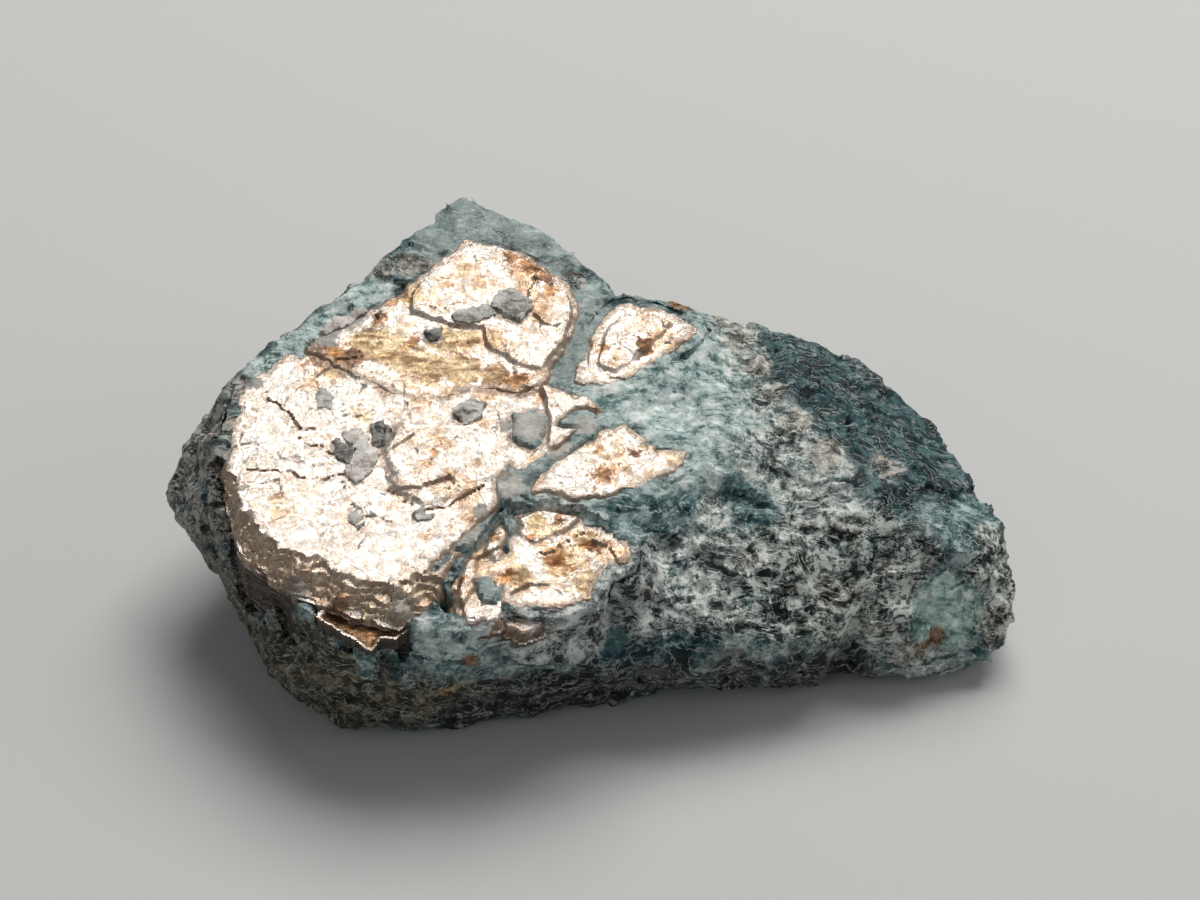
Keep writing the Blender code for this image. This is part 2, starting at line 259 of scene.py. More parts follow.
# %% Mesh helpers
def show(name, mesh):
    """An object at the origin that holds this mesh."""
    piece = bpy.data.objects.new(name, mesh)
    bpy.context.scene.collection.objects.link(piece)
    return piece


def settle(piece):
    """Turns what the modifiers make into the piece's own mesh."""
    graph = bpy.context.evaluated_depsgraph_get()
    shaped = piece.evaluated_get(graph)
    mesh = bpy.data.meshes.new_from_object(shaped, preserve_all_data_layers=True, depsgraph=graph)
    piece.modifiers.clear()
    piece.data = mesh
    return piece


def corners_of(mesh):
    """The places of a mesh's vertices, one row each."""
    flat = np.empty(len(mesh.vertices) * 3, np.float32)
    mesh.vertices.foreach_get("co", flat)
    return flat.reshape(-1, 3).astype(float)


def move_corners(mesh, places):
    mesh.vertices.foreach_set("co", places.astype(np.float32).ravel())
    mesh.update()


def write_attribute(mesh, name, values):
    """Stores one number, or one vector, for every vertex."""
    kind, field = ("FLOAT", "value") if values.ndim == 1 else ("FLOAT_VECTOR", "vector")
    if name in mesh.attributes:
        mesh.attributes.remove(mesh.attributes[name])
    layer = mesh.attributes.new(name, kind, "POINT")
    layer.data.foreach_set(field, values.astype(np.float32).ravel())


def smooth_step(values, low, high):
    share = np.clip((values - low) / (high - low), 0, 1)
    return share * share * (3 - 2 * share)


def crease(mesh, degrees):
    """Smooth shading with sharp edges where two faces meet at more than this angle."""
    bm = bmesh.new()
    bm.from_mesh(mesh)
    limit = math.radians(degrees)
    for face in bm.faces:
        face.smooth = True
    for edge in bm.edges:
        edge.smooth = edge.calc_face_angle(0) < limit
    bm.to_mesh(mesh)
    bm.free()


print("mesh helpers are ready")

# %% [markdown]
# ## Outlines of the mica
#
# Mica splits into sheets whose edges tear along crooked lines. Each outline is a short list
# of corners, and `torn` adds points between them that wander in and out, so that no edge is
# a straight line. The same function with another seed gives another sheet of the crystal.

# %% The outlines of the book
BOOK = [
    (-11.2, 2.1), (-10.1, 1.7), (-9.3, 1.2), (-8.3, 0.6), (-7.2, -0.1), (-5.6, -0.3),
    (-4.3, 0.3), (-2.6, 0.0), (-1.9, 0.5), (-1.1, 0.5), (-0.3, 0.3), (0.4, -0.4),
    (-0.1, -0.9), (-1.3, -2.1), (-2.5, -3.3), (-3.6, -4.6), (-5.0, -7.0), (-5.7, -8.8),
    (-6.7, -9.5), (-8.8, -8.9), (-10.6, -8.0), (-12.5, -6.3), (-13.3, -3.6),
    (-13.1, -1.3), (-12.8, 0.6),
]
BOOK_BACK = [
    (-12.7, 0.6), (-10.6, 1.4), (-9.1, 0.6), (-7.4, -0.4), (-7.7, -1.3), (-9.0, -1.9),
    (-8.9, -3.2), (-10.5, -3.3), (-12.6, -2.8), (-13.0, -1.3),
]
BOOK_FRONT = [
    (-12.7, -3.3), (-8.9, -3.6), (-7.7, -4.1), (-6.6, -5.2), (-5.4, -5.3), (-4.4, -6.3),
    (-5.7, -7.7), (-6.4, -8.9), (-8.8, -8.8), (-10.6, -7.9), (-12.4, -6.3), (-13.1, -4.2),
]
BOOK_EAST = [
    (-7.1, -0.6), (-5.6, -0.8), (-3.4, -0.4), (-2.8, -1.0), (-2.5, -2.5), (-3.7, -3.9),
    (-5.6, -4.9), (-6.5, -4.9), (-7.4, -3.9), (-7.8, -2.4),
]
BOOK_ARM = [
    (-1.9, 0.8), (-1.1, 0.6), (-0.6, 0.1), (-0.2, 0.3), (0.4, -0.4), (0.2, -0.8),
    (-1.2, -2.2), (-1.7, -2.1), (-1.6, -1.1),
]
BOOK_LEDGE = [
    (-9.7, -8.9), (-8.7, -9.7), (-7.7, -10.4), (-7.4, -9.9), (-6.9, -9.9), (-6.2, -9.3),
    (-6.3, -8.5), (-7.8, -8.2), (-9.3, -8.3),
]
FREE_EDGE = BOOK[17:23]
print("the book's free edge has", len(FREE_EDGE), "corners")

# %% The outlines of the plates at the back
PEAK_PLATE = [
    (-4.9, 7.9), (-3.5, 7.7), (-2.0, 6.8), (-0.8, 5.4), (-0.6, 4.4), (-1.1, 2.7),
    (-1.8, 1.1), (-2.7, 0.6), (-4.3, 0.8), (-5.6, 0.2), (-7.1, 0.4), (-8.1, 1.1),
    (-9.2, 1.7), (-9.9, 2.2), (-10.6, 2.6), (-10.2, 3.0), (-9.0, 3.8), (-7.8, 4.8),
    (-6.7, 5.9), (-5.8, 6.9),
]
PEAK_LOW = [
    (-8.8, 3.0), (-7.1, 2.7), (-5.6, 2.4), (-3.8, 1.9), (-1.9, 1.2), (-1.7, 1.7),
    (-2.6, 3.0), (-4.5, 5.4), (-6.9, 5.4), (-7.8, 4.6),
]
PEAK_TOP = [
    (-6.9, 4.3), (-6.0, 3.9), (-5.1, 3.6), (-4.1, 3.5), (-4.0, 2.7), (-2.8, 1.8),
    (-1.9, 1.5), (-1.1, 2.7), (-0.7, 4.2), (-0.9, 5.1), (-2.0, 6.5), (-3.5, 7.4),
    (-4.6, 7.6), (-5.8, 6.5), (-6.7, 5.5),
]
BACK_FLAKE = [
    (-0.6, 1.0), (-0.1, 2.7), (0.5, 4.2), (1.0, 4.7), (2.3, 4.5), (3.6, 3.9), (4.0, 3.5),
    (3.2, 2.7), (2.5, 2.2), (1.2, 1.1), (0.3, 0.8),
]
BACK_FLAKE_TOP = [
    (0.1, 1.7), (0.5, 3.5), (1.0, 4.1), (2.3, 4.1), (3.0, 3.7), (2.3, 2.8), (1.8, 2.2),
    (0.8, 1.3),
]
print("the peak plate has", len(PEAK_PLATE), "corners and the flake", len(BACK_FLAKE))

# %% The outlines of the plates in front
POINTED_PLATE = [
    (0.3, -1.2), (1.2, -1.0), (1.9, -2.0), (3.4, -2.2), (3.3, -2.8), (2.3, -3.5),
    (0.6, -4.3), (-0.6, -4.4), (-2.3, -4.1), (-1.8, -3.3), (-0.75, -2.2),
]
POINTED_TOP = [
    (-1.8, -4.0), (-1.4, -3.4), (-0.6, -2.5), (0.3, -1.5), (1.0, -1.3), (1.6, -2.3),
    (2.3, -2.6), (1.6, -3.3), (0.3, -4.0), (-0.6, -4.2),
]
FRONT_PLATE = [
    (-3.1, -4.9), (-2.8, -4.8), (-1.9, -4.6), (-0.9, -4.8), (-0.2, -4.9), (-0.2, -5.2),
    (0.4, -5.5), (1.3, -6.0), (1.2, -6.9), (0.3, -7.2), (-0.1, -8.4), (-1.1, -8.9),
    (-2.2, -8.9), (-3.2, -8.6), (-3.8, -8.9), (-4.5, -9.2), (-5.0, -9.0), (-4.6, -7.0),
    (-4.1, -6.2), (-3.6, -5.5),
]
FRONT_LENS = [
    (-2.8, -5.0), (-1.9, -4.7), (-0.3, -5.0), (-0.4, -5.2), (-1.4, -5.9), (-2.1, -6.2),
    (-2.6, -5.8),
]
FRONT_KNOB_BACK = [
    (-3.9, -6.6), (-3.6, -5.6), (-3.2, -5.0), (-2.9, -5.6), (-2.9, -6.4), (-3.4, -7.0),
]
FRONT_KNOB_LEFT = [
    (-4.9, -8.8), (-4.6, -7.2), (-4.2, -6.6), (-4.0, -7.0), (-4.0, -8.1), (-4.4, -8.9),
]
SMALL_FLAKES = {
    "small_flake_left": [(-4.6, -8.3), (-3.2, -8.4), (-3.3, -9.4), (-4.3, -9.5)],
    "small_flake_right": [
        (-3.1, -9.0), (-2.6, -8.7), (-1.8, -8.9), (-1.9, -9.4), (-2.6, -9.7), (-3.0, -9.4),
    ],
}
print("in front lie", 2 + len(SMALL_FLAKES), "plates")

# %% Measure distances to lines
def distance_to_line(points, line):
    """How far points lie from a crooked line, on which side, and how far along it."""
    best = np.full(len(points), np.inf)
    side = np.zeros(len(points))
    along_line = np.zeros(len(points))
    for number, (start, end) in enumerate(zip(line[:-1], line[1:])):
        start, end = np.array(start), np.array(end)
        along = end - start
        gap = points - start
        share = np.clip(gap @ along / (along @ along), 0, 1)
        away = np.linalg.norm(gap - share[:, None] * along, axis=1)
        closer = away < best
        best[closer] = away[closer]
        side[closer] = np.sign(gap[closer, 0] * along[1] - gap[closer, 1] * along[0])
        along_line[closer] = (number + share[closer]) / (len(line) - 1)
    return best, side, along_line


corner_away = distance_to_line(np.array(BOOK[:1]), FREE_EDGE)[0][0]
print("the book's first corner lies", round(float(corner_away), 1), "mm from the free edge")

# %% Tear an outline
SLOW_SWAY = 1.4
QUICK_SWAY = 4.1


def outward(points):
    """At each point of an outline, the direction that leads straight out of it."""
    before = np.roll(points, 1, axis=0)
    after = np.roll(points, -1, axis=0)
    area = (points[:, 0] * after[:, 1] - after[:, 0] * points[:, 1]).sum()
    sides = np.stack([after[:, 1] - before[:, 1], before[:, 0] - after[:, 0]], 1)
    return sides * np.sign(area) / np.linalg.norm(sides, axis=1)[:, None]


def torn(outline, reach, seed, step=0.12):
    """An outline with points every step along it that wander by up to reach."""
    corners = [Vector(corner) for corner in outline]
    points = []
    for start, end in zip(corners, corners[1:] + corners[:1]):
        parts = max(1, round((end - start).length / step))
        across = (end - start).normalized().orthogonal()
        for part in range(parts):
            point = start.lerp(end, part / parts)
            place = Vector((*point, seed * 7.3))
            sway = noise.noise(place * SLOW_SWAY) + 0.6 * noise.noise(place * QUICK_SWAY)
            points.append(point + across * sway * reach)
    return np.array([point[:] for point in points])


def depth_inside(points, outline):
    """How far points lie inside an outline, negative outside, and the nearest place on it."""
    starts = np.asarray(outline, float)
    ends = np.roll(starts, -1, axis=0)
    best = np.full(len(points), np.inf)
    nearest = np.zeros((len(points), 2))
    inside = np.zeros(len(points), bool)
    for start, end in zip(starts, ends):
        along = end - start
        gap = points - start
        share = np.clip(gap @ along / max(along @ along, 1e-12), 0, 1)
        touch = start + share[:, None] * along
        away = ((points - touch) ** 2).sum(1)
        closer = away < best
        best[closer] = away[closer]
        nearest[closer] = touch[closer]
        spans = (start[1] > points[:, 1]) != (end[1] > points[:, 1])
        if start[1] != end[1]:
            crossing = start[0] + (points[:, 1] - start[1]) * along[0] / along[1]
            inside ^= spans & (points[:, 0] < crossing)
    return np.where(inside, 1, -1) * np.sqrt(best), nearest


print("the flake's box is", np.ptp(np.array(BACK_FLAKE), axis=0).round(1), "mm")

# %% The torn edges
# The book's back edge lies over the next plate
BOOK_SEEN = [
    (-11.3, 2.4), (-10.1, 2.1), (-9.3, 1.6), (-8.3, 1.0), (-7.2, 0.4), (-5.6, 0.2),
    (-4.3, 0.7), (-2.6, 0.5), (-1.9, 0.8), *BOOK[9:],
]
SEEN = {
    "mica_book": BOOK_SEEN,
    "mica_peak_plate": PEAK_PLATE,
    "mica_back_flake": BACK_FLAKE,
    "mica_pointed_plate": POINTED_PLATE,
    "mica_front_plate": FRONT_PLATE,
    **SMALL_FLAKES,
}
EDGE_TEAR = 0.2
EDGES = {name: torn(outline, EDGE_TEAR, seed) for seed, (name, outline) in enumerate(SEEN.items())}

print("the book's outline has", len(EDGES["mica_book"]), "points when torn")

# %% [markdown]
# ## The crumbled rim
#
# At its free edge, the book has crumbled: the sheets end one after the other on a slope about
# a millimetre wide. Both the book's face and the rock below it follow this slope.

# %% The rim
RIM_DROP = 0.85
RIM_SEED = 31


def noise_rows(points, scale, seed):
    """Soft noise between 0 and 1 at each point of the sheets."""
    places = (Vector((u * scale, v * scale, seed * 5.7)) for u, v in points)
    return np.array([0.5 + 0.7 * noise.noise(place) for place in places]).clip(0, 1)


def rim_share(points):
    """0 on the book's face, rising to 1 at its free rim, where the sheets have crumbled."""
    away = distance_to_line(points, FREE_EDGE)[0]
    broad = 0.6 + 0.85 * smooth_step(-points[:, 1], 5.0, 7.5)
    broad *= 0.75 + 0.5 * noise_rows(points, 1.3, RIM_SEED)
    return np.clip(1 - away / broad, 0, 1)


rim_test = rim_share(np.array([[-9.0, -8.7], [-9.0, -5.0]]))
print("on the rim", round(float(rim_test[0]), 2), "and on the face", float(rim_test[1]))

# %% [markdown]
# ## Rock that comes through the mica
#
# The crystals aren't clean plates. Rock grew up between their parts, and along the cleft
# between the book and the two plates in front it shows as a grey-green seam. Each fill is an
# outline and the height up to which the rock comes. Both the rock and the mica follow it.

# %% Where rock comes through
FILLS = [
    ([(-3.0, -0.6), (-2.3, -0.2), (-1.6, -0.6), (-1.7, -1.9), (-2.3, -2.3), (-2.9, -1.7)], 0.12),
    ([(-1.2, -0.7), (-0.6, -0.4), (0.3, -0.6), (0.1, -1.1), (-0.7, -1.4), (-1.2, -1.1)], 0.16),
    ([(-3.5, -3.5), (-2.9, -2.8), (-2.3, -3.4), (-2.4, -4.5), (-3.1, -4.8), (-3.4, -4.2)], 0.05),
    ([
        (0.6, -0.6), (-0.3, -1.2), (-1.4, -2.3), (-2.5, -3.2), (-2.8, -3.8), (-1.5, -2.9),
        (-0.4, -1.9), (0.5, -1.2),
    ], 0.08),
    ([(-3.1, -4.3), (-4.3, -5.7), (-5.6, -7.2), (-5.8, -7.7), (-4.2, -6.4), (-3.1, -5.1)], 0.0),
    ([(-3.4, -4.9), (-2.7, -4.7), (-2.7, -5.4), (-2.9, -6.5), (-3.2, -6.4), (-3.1, -5.4)], -0.24),
    ([(-4.3, -7.9), (-3.7, -7.6), (-3.1, -8.1), (-3.3, -8.9), (-3.9, -8.8)], -0.3),
    ([
        (-2.2, -4.1), (-1.3, -4.25), (-0.6, -4.4), (0.5, -4.3), (1.2, -4.0), (1.1, -4.6),
        (0.2, -4.8), (-0.8, -4.75), (-1.6, -4.65), (-2.5, -4.8),
    ], -0.04),
]
FILL_TEAR = 0.22
FILL_SEED = 50
FILL_EDGES = []
for number, (outline, height) in enumerate(FILLS):
    FILL_EDGES.append((torn(outline, FILL_TEAR, FILL_SEED + number), height))


def fill_share(points):
    """How much each point of the sheets belongs to a fill, and that fill's height."""
    share = np.zeros(len(points))
    level = np.zeros(len(points))
    for edge, height in FILL_EDGES:
        depth, _ = depth_inside(points, edge)
        own = smooth_step(depth, -0.06, 0.1)
        level = np.where(own > share, height, level)
        share = np.maximum(share, own)
    return share, level


print("rock comes through in", len(FILLS), "places")

# %% [markdown]
# ## The body of the lump
#
# The solid lump has open seats, 0.3 mm wider than the crystals, because separate parts may
# not touch. In nature the crystals grew in place. So the visible rock is the same lump with
# each seat filled by a plug, made into one closed skin by a voxel remesh. A plug is a little
# larger than its crystal where rock holds it, and smaller where the crystal's edge is free.

# %% The lump and its seats
ROCK_VOXEL = 0.135
PLUG_GROW = 0.42
PLUG_SHRINK = -0.3
PLUG_LAYER = 0.4
PLUGS = {
    "mica_book": (BOOK, -3.8, -0.15),
    "mica_peak_plate": (PEAK_PLATE, -1.9, -0.4),
    "mica_back_flake": (BACK_FLAKE, -1.5, -0.1),
    "mica_pointed_plate": (POINTED_PLATE, -1.3, -0.1),
    "mica_front_plate": (FRONT_PLATE, -2.4, -0.52),
}
LEDGE_BED = (-2.4, -1.66)

lump = bmesh.new()
lump.from_mesh(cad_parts["grandidierite_mass"].data)
bmesh.ops.remove_doubles(lump, verts=lump.verts[:], dist=1e-6)
lump_tree = BVHTree.FromBMesh(lump)
print("the lump has", len(lump.faces), "faces before its seats are filled")

# %% Plugs for the seats
PROBES = (0.38, 0.6)


def in_rock(point):
    """Whether a world point lies inside the lump, by counting the skins above it."""
    skins = 0
    place = point.copy()
    while skins < 12:
        hit = lump_tree.ray_cast(place, Vector((0.013, 0.007, 1)).normalized())
        if hit[0] is None:
            break
        skins += 1
        place = hit[0] + Vector((0, 0, 1e-6))
    return skins % 2 == 1


def plug_outline(outline, middle):
    """The outline moved out into the rock, and in where the book's edge is free."""
    points = torn(outline, 0.0, 0, step=0.4)
    sides = outward(points)
    free = distance_to_line(points, FREE_EDGE)[0] < 0.9
    moved = []
    for point, side, bare in zip(points, sides, free):
        probes = to_world(np.array([[*(point + side * away), middle] for away in PROBES]))
        held = not bare or any(in_rock(Vector(probe)) for probe in probes)
        moved.append(point + side * (PLUG_GROW if held else PLUG_SHRINK))
    return np.array(moved)


def add_prism(bm, outline, low, high):
    """A closed flat block of this outline between two heights over the sheets."""
    rings = []
    for height in (low, high):
        points = to_world(np.column_stack([outline, np.full(len(outline), height)]))
        rings.append([bm.verts.new(point) for point in points])
    count = len(outline)
    for index in range(count):
        after = (index + 1) % count
        bm.faces.new([rings[0][index], rings[0][after], rings[1][after], rings[1][index]])
    caps = [bm.faces.new(rings[0]), bm.faces.new(rings[1])]
    bmesh.ops.triangulate(bm, faces=caps)


print("a plug's layer is", PLUG_LAYER, "mm thick")

# %% Fill the seats and fuse the skin
for outline, low, high in (*PLUGS.values(), (BOOK_LEDGE, *LEDGE_BED)):
    layers = max(1, round((high - low) / PLUG_LAYER))
    for below, above in zip(range(layers), range(1, layers + 1)):
        bottom = low + (high - low) * below / layers
        top = low + (high - low) * above / layers
        add_prism(lump, plug_outline(outline, (bottom + top) / 2), bottom - 0.03, top)
bmesh.ops.recalc_face_normals(lump, faces=lump.faces[:])
rock_mesh = bpy.data.meshes.new("grandidierite_rock")
lump.to_mesh(rock_mesh)
lump.free()
rock = show("grandidierite_rock", rock_mesh)
fuse = rock.modifiers.new("Fuse", "REMESH")
fuse.mode = "VOXEL"
fuse.voxel_size = ROCK_VOXEL * MM
settle(rock)
print("the rock's skin has", len(rock.data.polygons), "faces")

# %% [markdown]
# ## Where the relief may go
#
# The rock must lie just under each crystal, so its skin is lowered inside the outlines. The
# resting spot stays flat at ground level. A number from 0 to 1 on each vertex, `relief`,
# says how much of the broken surface it takes, and `rest` keeps the place that it had, so
# that the relief and the colours can follow the very same grains.

# %% Fit the rock to the mica
UNDER_MICA = 0.35
GROUND = 0.05
LEVEL_REACH = 1.5
PEAK = (-4.0, 8.5, 9.2)

places = corners_of(rock.data)
sheet_places = to_sheet(places)
facing_up = np.empty(len(places) * 3, np.float32)
rock.data.vertices.foreach_get("normal", facing_up)
facing_up = facing_up.reshape(-1, 3) @ np.array(SHEET_UP)
free_reach = distance_to_line(sheet_places[:, :2], FREE_EDGE)[0]
share, fill_level = fill_share(sheet_places[:, :2])
fills = share * smooth_step(facing_up, 0.3, 0.7)
relief = np.ones(len(places))
for name, (_, _, high) in PLUGS.items():
    level = high + 0.03
    near = np.abs(sheet_places[:, 2] - high) < 1.6
    depth, _ = depth_inside(sheet_places[near][:, :2], EDGES[name])
    height = sheet_places[near, 2]
    share = smooth_step(depth, -LEVEL_REACH, -0.05) * smooth_step(facing_up[near], 0.3, 0.7)
    share *= smooth_step(free_reach[near], 0.5, 1.3)
    height += (level - height) * share * np.where(height < level, 1.0, 0.6)
    height -= UNDER_MICA * smooth_step(depth, 0.0, 0.2)
    rim_slope = high - RIM_DROP * rim_share(sheet_places[near][:, :2]) ** 1.3 - 0.4
    under_rim = smooth_step(depth, -0.1, 0.05) * (rim_slope < high - 0.42)
    height += (np.minimum(height, rim_slope) - height) * under_rim
    sheet_places[near, 2] = height
    hidden = smooth_step(depth, -0.4, 0.1) * (1 - fills[near])
    relief[near] = np.minimum(relief[near], 1 - 0.75 * hidden - 0.6 * fills[near])
fills *= np.abs(sheet_places[:, 2] - fill_level) < 1.5
sheet_places[:, 2] += (fill_level - sheet_places[:, 2]) * fills
places = to_world(sheet_places)
relief *= smooth_step(places[:, 2] / MM, GROUND, 0.5)
relief *= 0.4 + 0.6 * smooth_step(np.linalg.norm(places / MM - PEAK, axis=1), 2.0, 4.5)
move_corners(rock.data, places)
write_attribute(rock.data, "rest", places / MM)
write_attribute(rock.data, "relief", relief)
print("share of the skin that is free to break:", round(float(relief.mean()), 2))

# %% [markdown]
# ## Broken grains
#
# Grandidierite breaks along its grains, and each grain shows one flat facet that leans its
# own way. Sculpting thousands of facets by hand is hopeless. A Geometry Nodes tree does it:
# Voronoi cells stand for the grains, and a random vector in each cell tips its facet. The
# tree is used three times, for blocks, grains and chips, with other sizes each time.

# %% Helpers for trees
MIDDLE = (0.5, 0.5, 0.5)


def grain_place(board, place, size, bend):
    """A place, bent by soft noise, so that the cells that follow it aren't regular."""
    sway = board.noise(place, 0.55 / size, 1.0, 0.5, "Color")
    centred = board.vector("SUBTRACT", sway, MIDDLE)
    return board.vector("ADD", place, board.vector("SCALE", centred, bend * size))


def new_tree(name, numbers):
    """A geometry tree with a mesh going in and out, and these named number inputs."""
    tree = bpy.data.node_groups.new(name, "GeometryNodeTree")
    tree.interface.new_socket(name="Geometry", in_out="INPUT", socket_type="NodeSocketGeometry")
    tree.interface.new_socket(name="Geometry", in_out="OUTPUT", socket_type="NodeSocketGeometry")
    for label, kind, value in numbers:
        socket = tree.interface.new_socket(name=label, in_out="INPUT", socket_type=kind)
        socket.default_value = value
    return tree, Board(tree)


def add_tree(piece, tree, values):
    """Puts a tree on a piece, with its inputs set by the identifiers of their sockets."""
    modifier = piece.modifiers.new(tree.name, "NODES")
    modifier.node_group = tree
    for item in tree.interface.items_tree:
        if item.in_out == "INPUT" and item.name in values:
            modifier[item.identifier] = values[item.name]
    return modifier


def named(board, name, kind="FLOAT"):
    made = board.node("GeometryNodeInputNamedAttribute", {"data_type": kind}, {"Name": name})
    return made["Attribute"]


def end_tree(board, geometry, finish):
    """Ends a tree: instances are made real, and the finish is put on."""
    whole = board.node("GeometryNodeRealizeInstances", None, {"Geometry": geometry})["Geometry"]
    sockets = {"Geometry": whole, "Material": finish}
    dressed = board.node("GeometryNodeSetMaterial", None, sockets)
    board.node("NodeGroupOutput", None, {"Geometry": dressed["Geometry"]})


print("trees can be built")

# %% The tree that breaks a surface into facets
def facet_tree():
    tree, board = new_tree(
        "Break into facets",
        [
            ("Grain", "NodeSocketFloat", 1.0),
            ("Relief", "NodeSocketFloat", 0.1),
            ("Bend", "NodeSocketFloat", 0.8),
            ("Ripple", "NodeSocketFloat", 0.0),
            ("Outward", "NodeSocketFloat", 1.0),
            ("Direction", "NodeSocketVector", (0, 0, 0)),
            ("Finish", "NodeSocketMaterial", None),
        ],
    )
    group = board.node("NodeGroupInput")
    place = named(board, "rest", "FLOAT_VECTOR")
    grain = group["Grain"]
    bent = grain_place(board, place, grain, group["Bend"])
    cells = board.cells(bent, grain)
    lean = board.vector("SUBTRACT", cells["Color"], MIDDLE)
    away = board.vector("SUBTRACT", bent, cells["Position"])
    facet = board.vector("DOT_PRODUCT", away, lean) / grain * group["Relief"]
    ripple = (board.noise(place, 1.7 / grain, 3.0, 0.6) - 0.5) * group["Ripple"]
    lift = (facet + ripple) * named(board, "relief") * MM
    normal = board.node("GeometryNodeInputNormal")["Normal"]
    out = board.vector("SCALE", normal, group["Outward"])
    direction = board.vector("ADD", out, group["Direction"])
    offset = board.vector("SCALE", direction, lift)
    moved = board.node(
        "GeometryNodeSetPosition", None, {"Geometry": group["Geometry"], "Offset": offset}
    )
    end_tree(board, moved["Geometry"], group["Finish"])
    return tree


facets = facet_tree()
print("the facet tree has", len(facets.nodes), "nodes")

# %% [markdown]
# ## Breaking the rock
#
# A broken face has large blocks, grains on the blocks and small chips on the grains. A single
# size of facet would look like crumpled paper, so the same tree runs three times, each time
# with smaller and lower facets. What sinks below the ground is pressed flat to rest on.

# %% Break the rock
ROCK_CREASE = 38
BLOCKS = {"Grain": 2.1, "Relief": 0.40, "Bend": 0.5, "Ripple": 0.05}
GRAINS = {"Grain": 0.9, "Relief": 0.22, "Bend": 0.8, "Ripple": 0.05}
CHIPS = {"Grain": 0.42, "Relief": 0.09, "Bend": 0.8, "Ripple": 0.03}

for sizes in (BLOCKS, GRAINS, CHIPS):
    add_tree(rock, facets, {**sizes, "Finish": green_finish})
settle(rock)
places = corners_of(rock.data)
places[:, 2] = np.maximum(places[:, 2], 0)
move_corners(rock.data, places)
crease(rock.data, ROCK_CREASE)
rock_height = round(places[:, 2].max() / MM, 1)
print("the rock has", len(rock.data.polygons), "faces and stands", rock_height, "mm")
